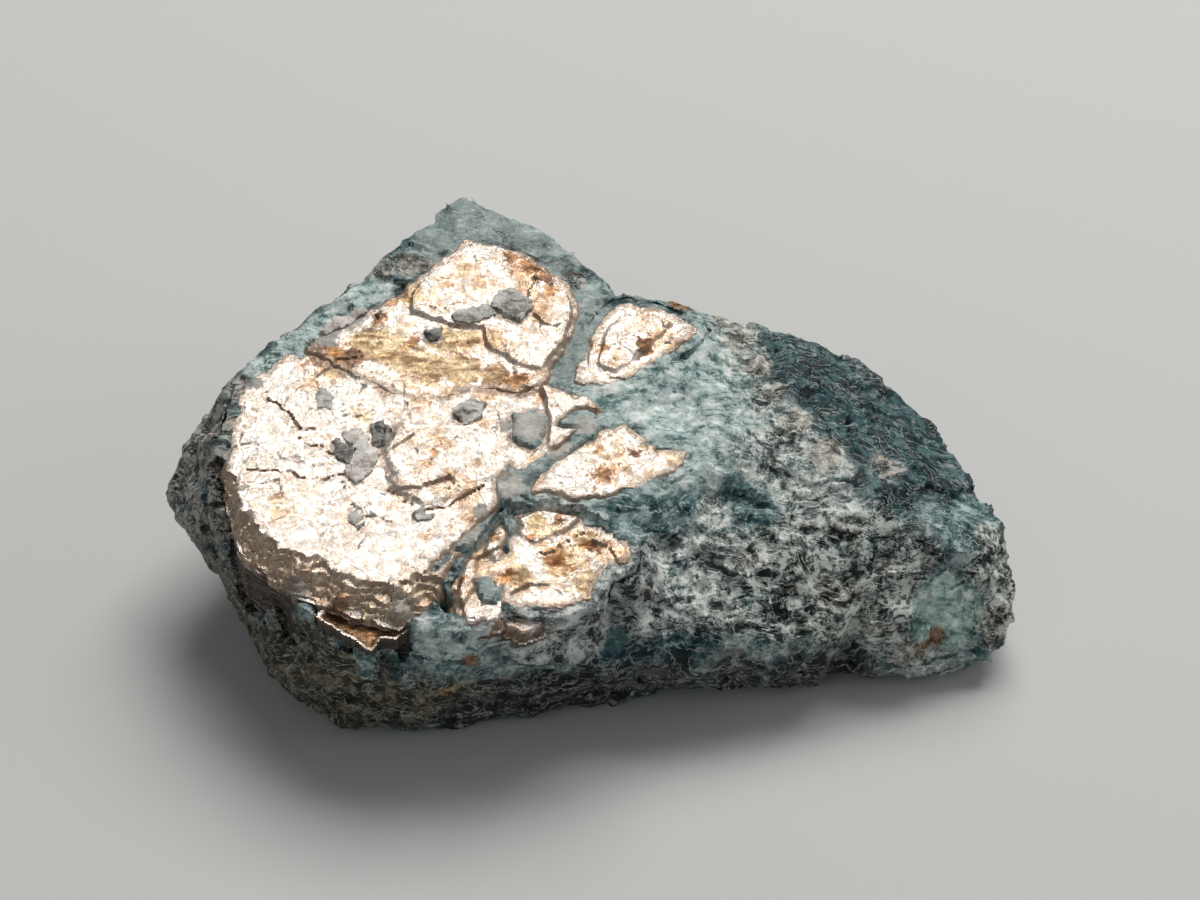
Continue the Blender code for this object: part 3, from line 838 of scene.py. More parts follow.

# %% [markdown]
# ## Patches of the rock
#
# The mass isn't one colour. The left rim is dark and granular, the middle is pale, the far
# right is dark teal, and stains of iron sit in the cracks. Two patches also carry painted
# shade: under, the near-black undercut along the bottom, and olive, the shaded lower-left
# wall, which is partly its own dark olive-brown. Painting an image would fix the colours to
# one view. Instead, each patch is a soft ball in space with a name, and each vertex keeps how
# deep it lies in the patches of that name.

# %% The patches
# Each ball has its centre and its radius in world millimetres
PATCHES = {
    "peak": [
        ((-5.2, 8.5, 9.3), 3.0), ((-3.8, 8.2, 9.1), 2.6), ((-2.7, 6.9, 8.9), 2.0),
        ((-1.7, 6.4, 8.8), 1.8), ((-0.4, 4.6, 8.6), 1.4), ((0.0, 3.2, 8.7), 1.4),
        ((-0.6, 2.2, 8.5), 1.4), ((-0.7, 1.2, 8.4), 1.3), ((-2.2, -1.8, 8.2), 1.4),
        ((-0.4, -1.6, 8.3), 1.2), ((-2.8, -4.5, 7.9), 1.5), ((-1.2, -3.0, 8.1), 1.2),
        ((-3.6, -8.9, 7.3), 1.2), ((-3.5, -7.7, 7.5), 1.1), ((-2.8, -6.3, 7.7), 1.1),
        ((-4.4, -6.5, 7.6), 1.5),
    ],
    "pale": [
        ((2.2, -0.1, 8.3), 2.7), ((3.7, 0.0, 8.2), 2.5), ((4.8, -1.4, 8.0), 2.0),
        ((3.3, -1.9, 8.1), 2.0), ((0.4, -0.5, 8.2), 1.7), ((4.8, 2.2, 8.3), 2.2),
        ((5.0, -2.9, 7.8), 1.5), ((4.0, -3.7, 7.7), 1.5), ((-9.7, 2.9, 8.5), 1.2),
        ((-9.0, 3.9, 8.7), 1.2), ((-8.2, 4.7, 8.8), 1.3), ((-10.8, 2.2, 8.4), 1.2),
        ((-12.2, 1.0, 8.3), 1.0), ((-5.6, -10.4, 6.1), 1.2), ((-4.9, -10.4, 5.3), 1.2),
        ((-4.1, -10.3, 5.6), 1.1),
    ],
    "deep": [
        ((7.5, 2.4, 8.0), 2.2), ((8.6, 2.0, 7.6), 2.4), ((9.7, 1.5, 7.3), 2.5),
        ((10.6, 0.9, 6.9), 2.5), ((11.3, 0.0, 6.5), 2.4), ((8.6, 0.1, 7.6), 1.6),
        ((9.6, -0.8, 7.3), 2.0), ((10.7, -1.2, 6.7), 2.1), ((11.6, -1.8, 6.3), 2.1),
        ((12.7, -0.8, 6.0), 2.4), ((13.3, -2.2, 5.6), 1.5), ((11.3, -3.0, 6.3), 1.7),
        ((6.0, -4.5, 6.7), 0.9), ((6.0, -5.3, 6.2), 0.6), ((0.6, -9.0, 3.8), 1.8),
        ((2.2, -8.8, 4.2), 1.6), ((3.3, -8.7, 3.8), 1.5), ((8.8, -6.3, 4.9), 0.6),
        ((9.0, 7.0, 4.0), 4.0),
    ],
    "teal": [
        ((1.1, -5.6, 7.2), 1.2), ((2.2, -5.5, 7.2), 1.5), ((3.2, -5.1, 7.1), 1.2),
        ((0.3, -5.3, 7.3), 0.8), ((6.0, -4.5, 6.7), 1.2), ((6.0, -5.3, 6.2), 0.8),
        ((5.3, -4.0, 7.1), 0.8), ((4.4, -4.6, 7.0), 0.9), ((14.2, -3.1, 5.1), 1.1),
        ((13.1, -4.0, 5.5), 1.1), ((13.7, -4.8, 4.9), 0.9), ((8.2, -3.6, 6.8), 0.7),
        ((9.6, -4.4, 6.2), 0.6), ((7.1, -4.6, 6.6), 0.6), ((11.0, -4.2, 5.9), 0.8),
    ],
    "matrix": [
        ((5.4, 3.3, 8.1), 1.3), ((5.9, 1.8, 8.0), 1.1), ((6.5, 0.0, 7.8), 1.1),
        ((7.2, -1.8, 7.5), 1.6), ((7.6, -3.2, 7.0), 1.8), ((6.2, -2.7, 7.6), 1.5),
        ((8.5, -3.2, 6.9), 1.5), ((4.0, -6.4, 5.8), 1.5), ((3.1, -7.6, 5.2), 1.7),
        ((4.7, -7.4, 5.0), 1.6), ((5.2, -6.2, 5.8), 1.3), ((8.8, -4.5, 6.5), 1.4),
        ((10.0, -4.8, 6.1), 1.1), ((4.6, -4.9, 6.9), 1.0), ((11.8, -7.4, 1.9), 1.3),
        ((10.5, -7.3, 2.4), 1.0),
    ],
    "beige": [
        ((5.0, 3.9, 8.1), 0.8), ((5.6, 2.9, 8.0), 0.9), ((6.2, 1.6, 7.9), 0.8),
        ((6.9, 0.2, 7.8), 0.7), ((7.6, -1.2, 7.5), 0.9), ((8.6, -2.3, 7.2), 0.9),
        ((12.0, -6.0, 4.0), 0.5), ((9.6, -7.6, 2.6), 0.8), ((11.6, -7.5, 1.9), 0.9),
    ],
    "navy": [
        ((1.6, -7.5, 6.2), 1.6), ((2.5, -6.6, 6.1), 1.2), ((1.8, -8.3, 5.6), 1.6),
        ((0.4, -8.7, 5.9), 1.6), ((1.0, -8.0, 6.9), 0.9), ((0.3, -9.0, 6.8), 0.9),
        ((-0.9, -9.6, 6.7), 0.9), ((-2.3, -9.7, 6.7), 0.8), ((-0.4, -9.1, 5.3), 1.6),
        ((-1.6, -9.8, 5.2), 1.6), ((-3.0, -10.0, 6.0), 1.1), ((3.6, -6.2, 6.0), 0.7),
    ],
    "speckle": [
        ((6.8, -6.2, 5.7), 1.7), ((7.6, -5.6, 6.1), 1.6), ((8.3, -6.5, 4.9), 2.2),
        ((9.5, -5.8, 5.1), 2.0), ((10.5, -6.4, 3.9), 2.1), ((11.3, -5.3, 4.8), 1.7),
        ((9.0, -7.1, 4.0), 2.0), ((7.2, -7.2, 4.5), 2.0), ((5.9, -7.6, 4.6), 1.4),
        ((10.5, -5.0, 5.5), 1.6), ((14.8, -4.7, 4.2), 1.6), ((15.4, -5.2, 3.1), 1.6),
        ((15.0, -6.1, 2.3), 1.4),
    ],
    "green": [
        ((12.7, -6.3, 3.6), 1.4), ((13.3, -6.4, 2.8), 1.5), ((12.4, -6.7, 2.8), 1.2),
        ((12.9, -5.9, 4.0), 0.8),
    ],
    "dark": [
        ((-14.7, -2.0, 6.1), 2.0), ((-14.2, -1.2, 6.8), 1.9), ((-13.7, -0.3, 7.3), 1.7),
        ((-13.1, 0.2, 7.9), 1.1), ((-15.0, -3.3, 5.2), 2.4), ((-14.2, -4.5, 4.8), 2.4),
        ((-6.5, 6.3, 8.8), 0.7), ((-7.1, 6.1, 8.9), 0.8), ((-7.8, 5.9, 9.0), 0.8),
        ((-0.6, 5.6, 8.6), 0.7), ((10.9, -2.4, 6.6), 0.9), ((-13.3, -2.0, 7.8), 1.3),
        ((-13.5, -3.6, 7.5), 1.4), ((-13.5, -5.0, 6.9), 1.6), ((-12.8, -6.8, 6.6), 1.6),
    ],
    # olive: the lower-left wall under the book, partly its own dark olive-brown and partly painted shade
    "olive": [
        ((-10.8, -8.8, 2.1), 3.8), ((-9.0, -9.8, 2.2), 3.0), ((-7.0, -10.2, 2.4), 2.6),
        ((-5.2, -10.4, 2.6), 2.2), ((-10.3, -9.0, 4.4), 2.2), ((-13.4, -5.5, 2.8), 3.8),
        ((-8.4, -10.0, 3.8), 2.0), ((-3.4, -9.9, 2.4), 1.6),
    ],
    "rust": [
        ((12.6, -6.9, 2.3), 0.6), ((12.1, -7.2, 2.1), 0.5), ((-4.2, -10.3, 4.9), 0.45),
        ((-5.2, -10.3, 3.4), 0.6), ((3.4, 4.4, 8.3), 0.7),
    ],
    # under: the undercut along the bottom, painted near-black as painted shade
    "under": [
        ((0.0, -8.6, 1.6), 2.6), ((2.6, -8.2, 2.0), 2.4), ((5.0, -7.8, 2.0), 2.3),
        ((7.5, -7.2, 1.6), 2.3), ((-2.4, -9.2, 1.8), 2.4), ((9.6, -6.6, 1.0), 1.8),
        ((-4.4, -9.4, 1.2), 2.0),
    ],
    "stone": [
        ((-2.9, -4.6, 8.0), 0.9), ((-1.2, -2.9, 8.2), 0.7), ((-4.4, -6.6, 7.7), 0.8),
        ((-0.2, -1.9, 8.3), 0.6), ((-2.2, -1.9, 8.3), 0.9), ((-3.0, -5.8, 7.9), 0.5),
    ],
}
# These two tones are for single grains and cover no patch
GRAIN_TONES = ("ash", "quartz")
PATCHES.update({name: [] for name in GRAIN_TONES})
print("there are", len(PATCHES), "kinds of patch")

# %% Write the patches onto the rock
def patch_depth(places, balls):
    """How deep each place lies in a set of soft balls, 1 at a centre and 0 outside."""
    depth = np.zeros(len(places))
    for centre, radius in balls:
        away = np.linalg.norm(places - np.array(centre), axis=1)
        depth = np.maximum(depth, np.clip(1 - away / radius, 0, 1))
    return depth


rock_places = corners_of(rock.data) / MM
for name, balls in PATCHES.items():
    depth = patch_depth(rock_places, balls)
    write_attribute(rock.data, name, depth)
    print("patch", name, "covers", round(float((depth > 0.3).mean()), 2))

# %% [markdown]
# ## The finish of the rock
#
# Everywhere in the rock, dark glassy grains change with a pale crust, and only the colours and
# the size of the pattern differ from patch to patch. So there is one pattern, a value around
# a half made of blotches, flecks and grit, and three tones per patch: for the dark, middle and
# pale parts of the pattern. Thin white lines, healed cracks, run over all of it.

# %% The rock's tones
TONES = {
    "plain": [(0.030, 0.080, 0.086), (0.13, 0.21, 0.21), (0.46, 0.54, 0.52)],
    "peak": [(0.090, 0.14, 0.14), (0.30, 0.37, 0.36), (0.60, 0.67, 0.65)],
    "pale": [(0.070, 0.15, 0.15), (0.42, 0.54, 0.52), (0.88, 0.93, 0.88)],
    "deep": [(0.001, 0.009, 0.011), (0.003, 0.036, 0.044), (0.07, 0.145, 0.15)],
    "teal": [(0.014, 0.060, 0.066), (0.11, 0.205, 0.21), (0.50, 0.60, 0.59)],
    "matrix": [(0.034, 0.056, 0.056), (0.36, 0.41, 0.38), (0.92, 0.95, 0.88)],
    "beige": [(0.050, 0.052, 0.045), (0.34, 0.32, 0.265), (0.80, 0.77, 0.68)],
    "navy": [(0.014, 0.019, 0.026), (0.31, 0.34, 0.33), (0.82, 0.85, 0.79)],
    "speckle": [(0.005, 0.009, 0.009), (0.13, 0.15, 0.14), (0.76, 0.80, 0.72)],
    "green": [(0.10, 0.19, 0.17), (0.42, 0.58, 0.52), (0.90, 0.98, 0.90)],
    "dark": [(0.010, 0.010, 0.009), (0.085, 0.082, 0.074), (0.50, 0.47, 0.42)],
    # olive: very dark tones, partly the wall's own olive-brown and partly painted shade of the shaded
    # lower-left wall
    "olive": [(0.010, 0.009, 0.005), (0.050, 0.045, 0.028), (0.22, 0.19, 0.12)],
    "rust": [(0.10, 0.050, 0.020), (0.30, 0.18, 0.09), (0.58, 0.45, 0.32)],
    # under: near-black tones that are painted shade of the undercut
    "under": [(0.003, 0.003, 0.003), (0.014, 0.017, 0.016), (0.12, 0.13, 0.12)],
    "stone": [(0.20, 0.185, 0.165), (0.52, 0.50, 0.45), (0.86, 0.84, 0.79)],
    "ash": [(0.070, 0.066, 0.060), (0.21, 0.20, 0.18), (0.48, 0.45, 0.41)],
    "quartz": [(0.36, 0.32, 0.27), (0.70, 0.64, 0.57), (0.93, 0.88, 0.82)],
}

print("there are", len(TONES), "sets of tones")

# %% The noises under the rock's pattern
board, shader = green_board, green_shader
place = board.attribute("rest", "Vector")
bent = grain_place(board, place, 0.9, 0.8)
blotch = board.noise(bent, 1.5, 6.0, 0.64) - 0.5
fleck = board.noise(bent, 5.5, 4.0, 0.7) - 0.5
grit = board.noise(place, 14.0, 3.0, 0.65) - 0.5
border = board.noise(place, 1.2, 5.0, 0.7) - 0.5
FIBRE_TURN = (0.0, 0.0, 0.35)
FIBRE_STRETCH = (0.4, 1.3, 1.1)
turned = {"Vector": place, "Rotation": FIBRE_TURN, "Scale": FIBRE_STRETCH}
along = board.node("ShaderNodeMapping", None, turned)["Vector"]
swirl = board.vector("SUBTRACT", board.noise(place, 0.45, 2.0, 0.5, "Color"), MIDDLE)
along = board.vector("ADD", along, board.vector("SCALE", swirl, 2.2))
fibre = board.noise(along, 2.2, 4.0, 0.64) - 0.5
print("the pattern starts from blotches, flecks, grit and fibres")

# %% Patches, lines and cells
def patch(name):
    """A patch with a torn border."""
    depth = board.attribute(name)
    return (depth + border * 0.9 + fleck * 0.5).step(0.12, 0.45) * depth.step(0.0, 0.12)


def thin_lines(place, size, width):
    """Curved lines: where soft noise crosses its middle value."""
    return 1 - ((board.noise(place, 1 / size, 3.0, 0.6) - 0.5).size()).step(0, width)


def cell_shade(cells):
    """A value around 0 that's the same all over each cell."""
    return board.node("ShaderNodeSeparateColor", None, {"Color": cells["Color"]})["Red"] - 0.5


print("patches, lines and cells can be drawn")

# %% Blend the tones
shares = {name: patch(name) for name in PATCHES}
zone = board.noise(place, 0.26, 3.0, 0.6)
tones = TONES["plain"]
zones = {"deep": 1 - zone.step(0.38, 0.5), "matrix": zone.step(0.54, 0.66)}
for name, share in (*zones.items(), *shares.items()):
    tones = [board.mix(share, old, new) for old, new in zip(tones, TONES[name])]
chip_spot = grain_place(board, place, 0.4, 0.8)
chips = board.cells(chip_spot, 0.42)
crumbs = board.cells(grain_place(board, place, 0.2, 0.8), 0.2)
print("the tones of", len(shares), "patches are blended")

# %% The pattern and its colour
BEIGE_TINT = (0.30, 0.255, 0.19)
TEAL_TINT = (0.07, 0.175, 0.18)
LINE_WHITE = (0.62, 0.66, 0.63)

fine = shares["speckle"] + shares["matrix"] * 0.7 + shares["dark"] + shares["navy"] * 0.4
calm = shares["pale"] * 0.15 + shares["peak"] * 0.6 + shares["green"] * 0.4
calm = calm + (shares["stone"] + shares["ash"] + shares["quartz"]) * 0.25
pattern = blotch * (2.8 - fine * 0.9 + shares["deep"]) + fleck * (1.0 + fine * 0.55)
pattern = pattern + grit * (0.6 + fine * 0.25)
pattern = pattern + fibre * (2.0 + fine * 0.8)
pattern = pattern + cell_shade(chips) * (0.2 + fine * 0.3) + cell_shade(crumbs) * (0.1 + fine * 0.4)
pattern = pattern * (1 - calm * 0.6) + 0.5
tint = board.noise(place, 0.8, 4.0, 0.65)
tones[1] = board.mix(tint.step(0.5, 0.66) * fine * 0.55, tones[1], BEIGE_TINT)
tones[1] = board.mix((1 - tint.step(0.38, 0.5)) * fine * 0.75, tones[1], TEAL_TINT)
lines = thin_lines(along, 0.9, 0.018) + thin_lines(along, 0.45, 0.03) * 0.8
lines = lines * (fleck + 0.5).step(0.36, 0.5) * (1 - calm * 0.7) * 0.9
colour = board.mix(pattern.step(0.08, 0.52), tones[0], tones[1])
colour = board.mix(pattern.step(0.5, 0.98), colour, tones[2])
colour = board.mix(lines, colour, board.mix(0.5, tones[2], LINE_WHITE))

print("the rock's colour is ready")

# %% The rock's gloss and relief
ROCK_BUMP = 0.7
ROCK_BUMP_HEIGHT = 0.0005
ROCK_GLOSS = 0.28

glass = 1 - pattern.step(0.2, 0.6)
rough = 0.55 - glass * 0.40
chip_lean = board.vector("SUBTRACT", chips["Color"], MIDDLE)
chip_away = board.vector("SUBTRACT", chip_spot, chips["Position"])
chip_tip = board.vector("DOT_PRODUCT", chip_away, chip_lean)
height = chip_tip * 0.3 + fleck * 0.18 + grit * 0.06 + lines * 0.03
values = {"Height": height, "Strength": ROCK_BUMP, "Distance": ROCK_BUMP_HEIGHT}
bump = board.node("ShaderNodeBump", None, values)
connect(green_finish, shader, colour, rough, bump)
shader.inputs["Specular IOR Level"].default_value = ROCK_GLOSS
print("the rock's finish has", len(green_finish.node_tree.nodes), "nodes")

# %% [markdown]
# ## The faces of the mica
#
# Seen from above, a mica crystal is a stack of torn sheets: flat plates at slightly
# different heights, crossed by cracks, with one lip of a crack often lifted. A fine grid
# over the plane of the sheets can hold all of that as heights. The grid's rim is drawn onto
# the torn outline, then pulled down into a closed slab.

# %% Build a slab from heights
GRID = 0.075


def slab(name, edge, heights, floor, beyond=None):
    """A closed slab with these heights on top and a flat underside.

    It goes on beyond its edge by the distance that beyond gives, to sink into the rock.
    """
    low = edge.min(0) - GRID * 6
    counts = np.ceil((edge.max(0) + GRID * 6 - low) / GRID).astype(int) + 1
    along, up = np.meshgrid(np.arange(counts[0]), np.arange(counts[1]), indexing="ij")
    points = low + np.column_stack([along.ravel(), up.ravel()]) * GRID
    depth, nearest = depth_inside(points, edge)
    reach = beyond(points) if beyond else np.zeros(len(points))
    keep = depth > -0.5 * GRID - reach
    rim = (np.abs(depth) < 0.5 * GRID) & (reach < 0.5 * GRID)
    points[rim] = nearest[rim]
    number = along * counts[1] + up
    squares = np.stack(
        [number[:-1, :-1], number[1:, :-1], number[1:, 1:], number[:-1, 1:]], axis=-1
    ).reshape(-1, 4)
    squares = squares[keep[squares].all(1)]
    used = np.unique(squares)
    renumber = np.zeros(len(points), int)
    renumber[used] = np.arange(len(used))
    points = points[used]
    tops = heights(points, depth[used])
    mesh = bpy.data.meshes.new(name)
    surface = to_world(np.column_stack([points, tops]))
    mesh.from_pydata(surface.tolist(), [], renumber[squares].tolist())
    close_below(mesh, floor)
    return mesh


def close_below(mesh, floor):
    """Turns an open surface into a closed slab with a flat underside."""
    bm = bmesh.new()
    bm.from_mesh(mesh)
    drop = -SHEET_UP * MM
    border = [item for item in bm.edges if item.is_boundary]
    made = bmesh.ops.extrude_edge_only(bm, edges=border)["geom"]
    hanging = [item for item in made if isinstance(item, bmesh.types.BMVert)]
    inverse = SHEET_TO_WORLD.inverted()
    for vert in hanging:
        height = (inverse @ vert.co).z / MM
        vert.co += drop * (height - floor)
    rims = [item for item in bm.edges if item.is_boundary]
    bmesh.ops.holes_fill(bm, edges=rims, sides=0)
    bmesh.ops.recalc_face_normals(bm, faces=bm.faces[:])
    bm.to_mesh(mesh)
    bm.free()


print("a slab's grid is", GRID, "mm")

# %% Steps and crooked lines
def raise_step(points, heights, outline, level, tear, seed, tilt, slope):
    """Raises the heights inside a torn outline to a level that may lean a little."""
    edge = torn(outline, tear, seed)
    depth, _ = depth_inside(points, edge)
    share = smooth_step(depth, -0.03, slope)
    centre = edge.mean(0)
    plane = level + (points - centre) @ np.array(tilt)
    return heights * (1 - share) + plane * share


def crooked(line, reach, seed, step=0.2):
    """A line with points along it that wander, like a crack."""
    corners = [Vector(corner) for corner in line]
    points = []
    for start, end in zip(corners[:-1], corners[1:]):
        parts = max(1, round((end - start).length / step))
        across = (end - start).normalized().orthogonal()
        for part in range(parts):
            point = start.lerp(end, part / parts)
            place = Vector((*point, seed * 3.1))
            points.append(point + across * noise.noise(place * 2.3) * reach)
    points.append(corners[-1])
    return [point[:] for point in points]


print("a crack from 0 to 1 gets", len(crooked([(0, 0), (1, 0)], 0.1, 0)), "points")

# %% [markdown]
# ## The crystals and their cracks
#
# Each crystal gets its base level, its raised steps with a slight lean, and its cracks. The
# numbers were read off the photograph through the plane of the sheets. A lean of one or two
# degrees matters more than it seems, because a mirror turns light by twice its own lean.

# %% The crystals' steps
SLABS = {
    "mica_book": {
        "level": -0.1,
        "floor": -1.45,
        "steps": [
            (BOOK_BACK, 0.0, (0.01, -0.02), 0.9),
            (BOOK_FRONT, 0.02, (0.0, 0.02), 0.9),
            (BOOK_EAST, 0.08, (-0.02, 0.0), 0.6),
            (BOOK_ARM, 0.1, (0.05, 0.03), 0.12),
        ],
    },
    "mica_peak_plate": {
        "level": -0.10,
        "floor": -1.3,
        "steps": [(PEAK_LOW, -0.05, (0.0, 0.01), 0.2), (PEAK_TOP, 0.16, (0.01, 0.04), 0.09)],
    },
    "mica_back_flake": {
        "level": -0.02,
        "floor": -0.9,
        "steps": [(BACK_FLAKE_TOP, 0.14, (0.02, 0.0), 0.15)],
    },
    "mica_pointed_plate": {
        "level": -0.05,
        "floor": -0.8,
        "steps": [(POINTED_TOP, 0.03, (0.02, 0.05), 0.4)],
    },
    "mica_front_plate": {
        "level": -0.45,
        "floor": -1.6,
        "steps": [
            (FRONT_LENS, -0.30, (0.03, 0.03), 0.15),
            (FRONT_KNOB_BACK, -0.26, (0.04, -0.03), 0.2),
            (FRONT_KNOB_LEFT, -0.28, (-0.04, 0.02), 0.2),
        ],
    },
    "small_flake_left": {"level": -0.42, "floor": -1.2, "steps": []},
    "small_flake_right": {"level": -0.80, "floor": -1.35, "steps": []},
}

print("steps are set for", len(SLABS), "crystals")

# %% The cracks
# A crack: its line, its width, its depth and how far the lip on its left is lifted
CRACKS = [
    ([(-12.05, 0.5), (-11.2, -0.5), (-10.4, -1.4), (-9.8, -1.45)], 0.07, 0.2, 0.054),
    ([(-10.7, -1.75), (-9.9, -2.15), (-9.1, -2.5)], 0.06, 0.15, 0.03),
    ([(-12.6, -2.9), (-11.0, -3.25), (-10.3, -3.5), (-9.6, -3.55), (-8.9, -3.3)], 0.07, 0.2, 0.048),
    ([(-6.5, -5.0), (-5.6, -4.95), (-4.7, -4.4), (-3.7, -3.8)], 0.10, 0.3, 0.072),
    ([(-7.4, -3.85), (-6.95, -4.4), (-6.5, -4.9)], 0.05, 0.12, 0.03),
    ([(0.3, -1.1), (-0.8, -2.0), (-1.8, -3.0), (-2.6, -3.7)], 0.05, 0.1, 0.03),
    ([(-3.7, -5.4), (-4.6, -6.5), (-5.5, -7.4), (-6.2, -7.9)], 0.05, 0.1, 0.03),
    ([(-2.1, -4.3), (-1.4, -4.6), (-0.7, -4.9), (-0.1, -5.0)], 0.07, 0.15, 0.036),
    ([(-0.3, -5.6), (-1.0, -6.1), (-1.65, -6.65), (-2.0, -6.7)], 0.06, 0.15, 0.036),
    ([(-8.8, 3.0), (-8.75, 2.3), (-8.4, 1.6), (-8.1, 1.0), (-7.4, -0.2)], 0.04, 0.06, 0.024),
    ([(-6.6, 4.6), (-5.8, 4.3), (-5.2, 4.4)], 0.05, 0.1, 0.024),
    ([(-3.7, 1.95), (-2.85, 1.5), (-1.9, 1.2)], 0.05, 0.08, 0.024),
    ([(-8.2, -5.1), (-7.2, -5.6), (-6.6, -5.4)], 0.05, 0.08, 0.024),
]

LIP_REACH = 0.5
CRACK_SWAY = 0.22


def crack_depths(points):
    """How far the cracks pull the face down, how far lips stand up, and how dark each place is."""
    fall = np.zeros(len(points))
    darkness = np.zeros(len(points))
    for number, (line, width, depth, lip) in enumerate(CRACKS):
        away, side, along = distance_to_line(points, crooked(line, CRACK_SWAY, number))
        taper = np.sqrt(np.clip(4 * along * (1 - along), 0.02, 1))
        spread = width * taper * (0.2 + 0.6 * noise_rows(points, 1.6, number))
        inside = 1 - smooth_step(away, spread * 0.2, spread)
        fall -= depth * inside
        fall += lip * taper * np.exp(-away / LIP_REACH) * (side > 0) * (1 - inside)
        darkness = np.maximum(darkness, inside)
    return fall, darkness


print("there are", len(CRACKS), "cracks")

# %% Make the crystals
SHEET_STEP = 0.17
SINK_REACH = 0.3
SINK = 0.5


def beyond_edge(points):
    """How far a crystal goes on under the rock: nowhere at the book's free rim."""
    return SINK_REACH * smooth_step(distance_to_line(points, FREE_EDGE)[0], 0.2, 0.7)


def slab_heights(facts, seed):
    """The heights of one crystal: its steps, its cracks, its rim and the rock in it."""
    def heights(points, depth):
        tops = np.full(len(points), facts["level"])
        for number, (outline, level, lean, slope) in enumerate(facts["steps"]):
            tops = raise_step(points, tops, outline, level, 0.09, seed + number + 1, lean, slope)
        fall, _ = crack_depths(points)
        rim = rim_share(points)
        crumbs = (noise_rows(points, 2.6, RIM_SEED + 1) - 0.5) * 0.3
        crumbs += (noise_rows(points, 0.9, RIM_SEED + 2) - 0.5) * 0.2
        slope = rim ** 1.2 * RIM_DROP + crumbs * smooth_step(rim, 0.0, 0.4)
        levels = slope / SHEET_STEP
        stepped = (np.floor(levels) + smooth_step(levels % 1, 0.7, 1.0)) * SHEET_STEP
        tops += fall - stepped
        share, level = fill_share(points)
        tops += (np.minimum(tops, level - 0.25) - tops) * share
        tops -= SINK * smooth_step(-depth, 0.0, SINK_REACH)
        return np.maximum(tops, facts["floor"] + 0.1)
    return heights


mica_pieces = {}
for seed, (name, facts) in enumerate(SLABS.items()):
    heights = slab_heights(facts, seed * 10)
    mesh = slab(name + "_faces", EDGES[name], heights, facts["floor"], beyond_edge)
    mica_pieces[name] = show(name + "_faces", mesh)
    print(name, "has", len(mesh.polygons), "faces")

# %% [markdown]
# ## Small plates and wrinkles
#
# Between the cracks, a mica face still isn't a mirror: it is split into small plates that
# lean by a degree or two, and it is wrinkled like foil. The facet tree of the rock can do
# this too. It only has to push along the sheets' own direction instead of the surface's.

# %% Wrinkle the faces
PLATES = {"Grain": 1.5, "Relief": 0.16, "Bend": 0.9, "Ripple": 0.05}
SCALES = {"Grain": 0.55, "Relief": 0.08, "Bend": 0.9, "Ripple": 0.03}
CRUMBS = {"Grain": 0.3, "Relief": 0.08, "Bend": 0.8, "Ripple": 0.03}
MICA_CREASE = 40


def wrinkle(piece, sizes, relief):
    """One run of the facet tree on a crystal, along the sheets' own direction."""
    write_attribute(piece.data, "relief", relief)
    upright = {"Outward": 0.0, "Direction": SHEET_UP[:], "Finish": bronze_finish}
    add_tree(piece, facets, {**sizes, **upright})
    settle(piece)


for name, piece in mica_pieces.items():
    sheet_places = to_sheet(corners_of(piece.data))
    floor = SLABS[name]["floor"]
    free = smooth_step(sheet_places[:, 2], floor + 0.02, floor + 0.1)
    rim = rim_share(sheet_places[:, :2])
    write_attribute(piece.data, "rest", sheet_places)
    write_attribute(piece.data, "rim", rim)
    for sizes in (PLATES, SCALES):
        wrinkle(piece, sizes, free)
    wrinkle(piece, CRUMBS, free * smooth_step(rim, 0.0, 0.35))
    crease(piece.data, MICA_CREASE)
    print(name, "is wrinkled")

# %% [markdown]
# ## Grains that sit in the mica
#
# While the mica grew, it closed around a few loose grains: a smooth grey pebble in the plate
# below the peak, and a cluster of quartz and dark grains in the middle of the book. Each is a
# small dome over its own outline, broken by the facet tree, and it uses the rock's finish.

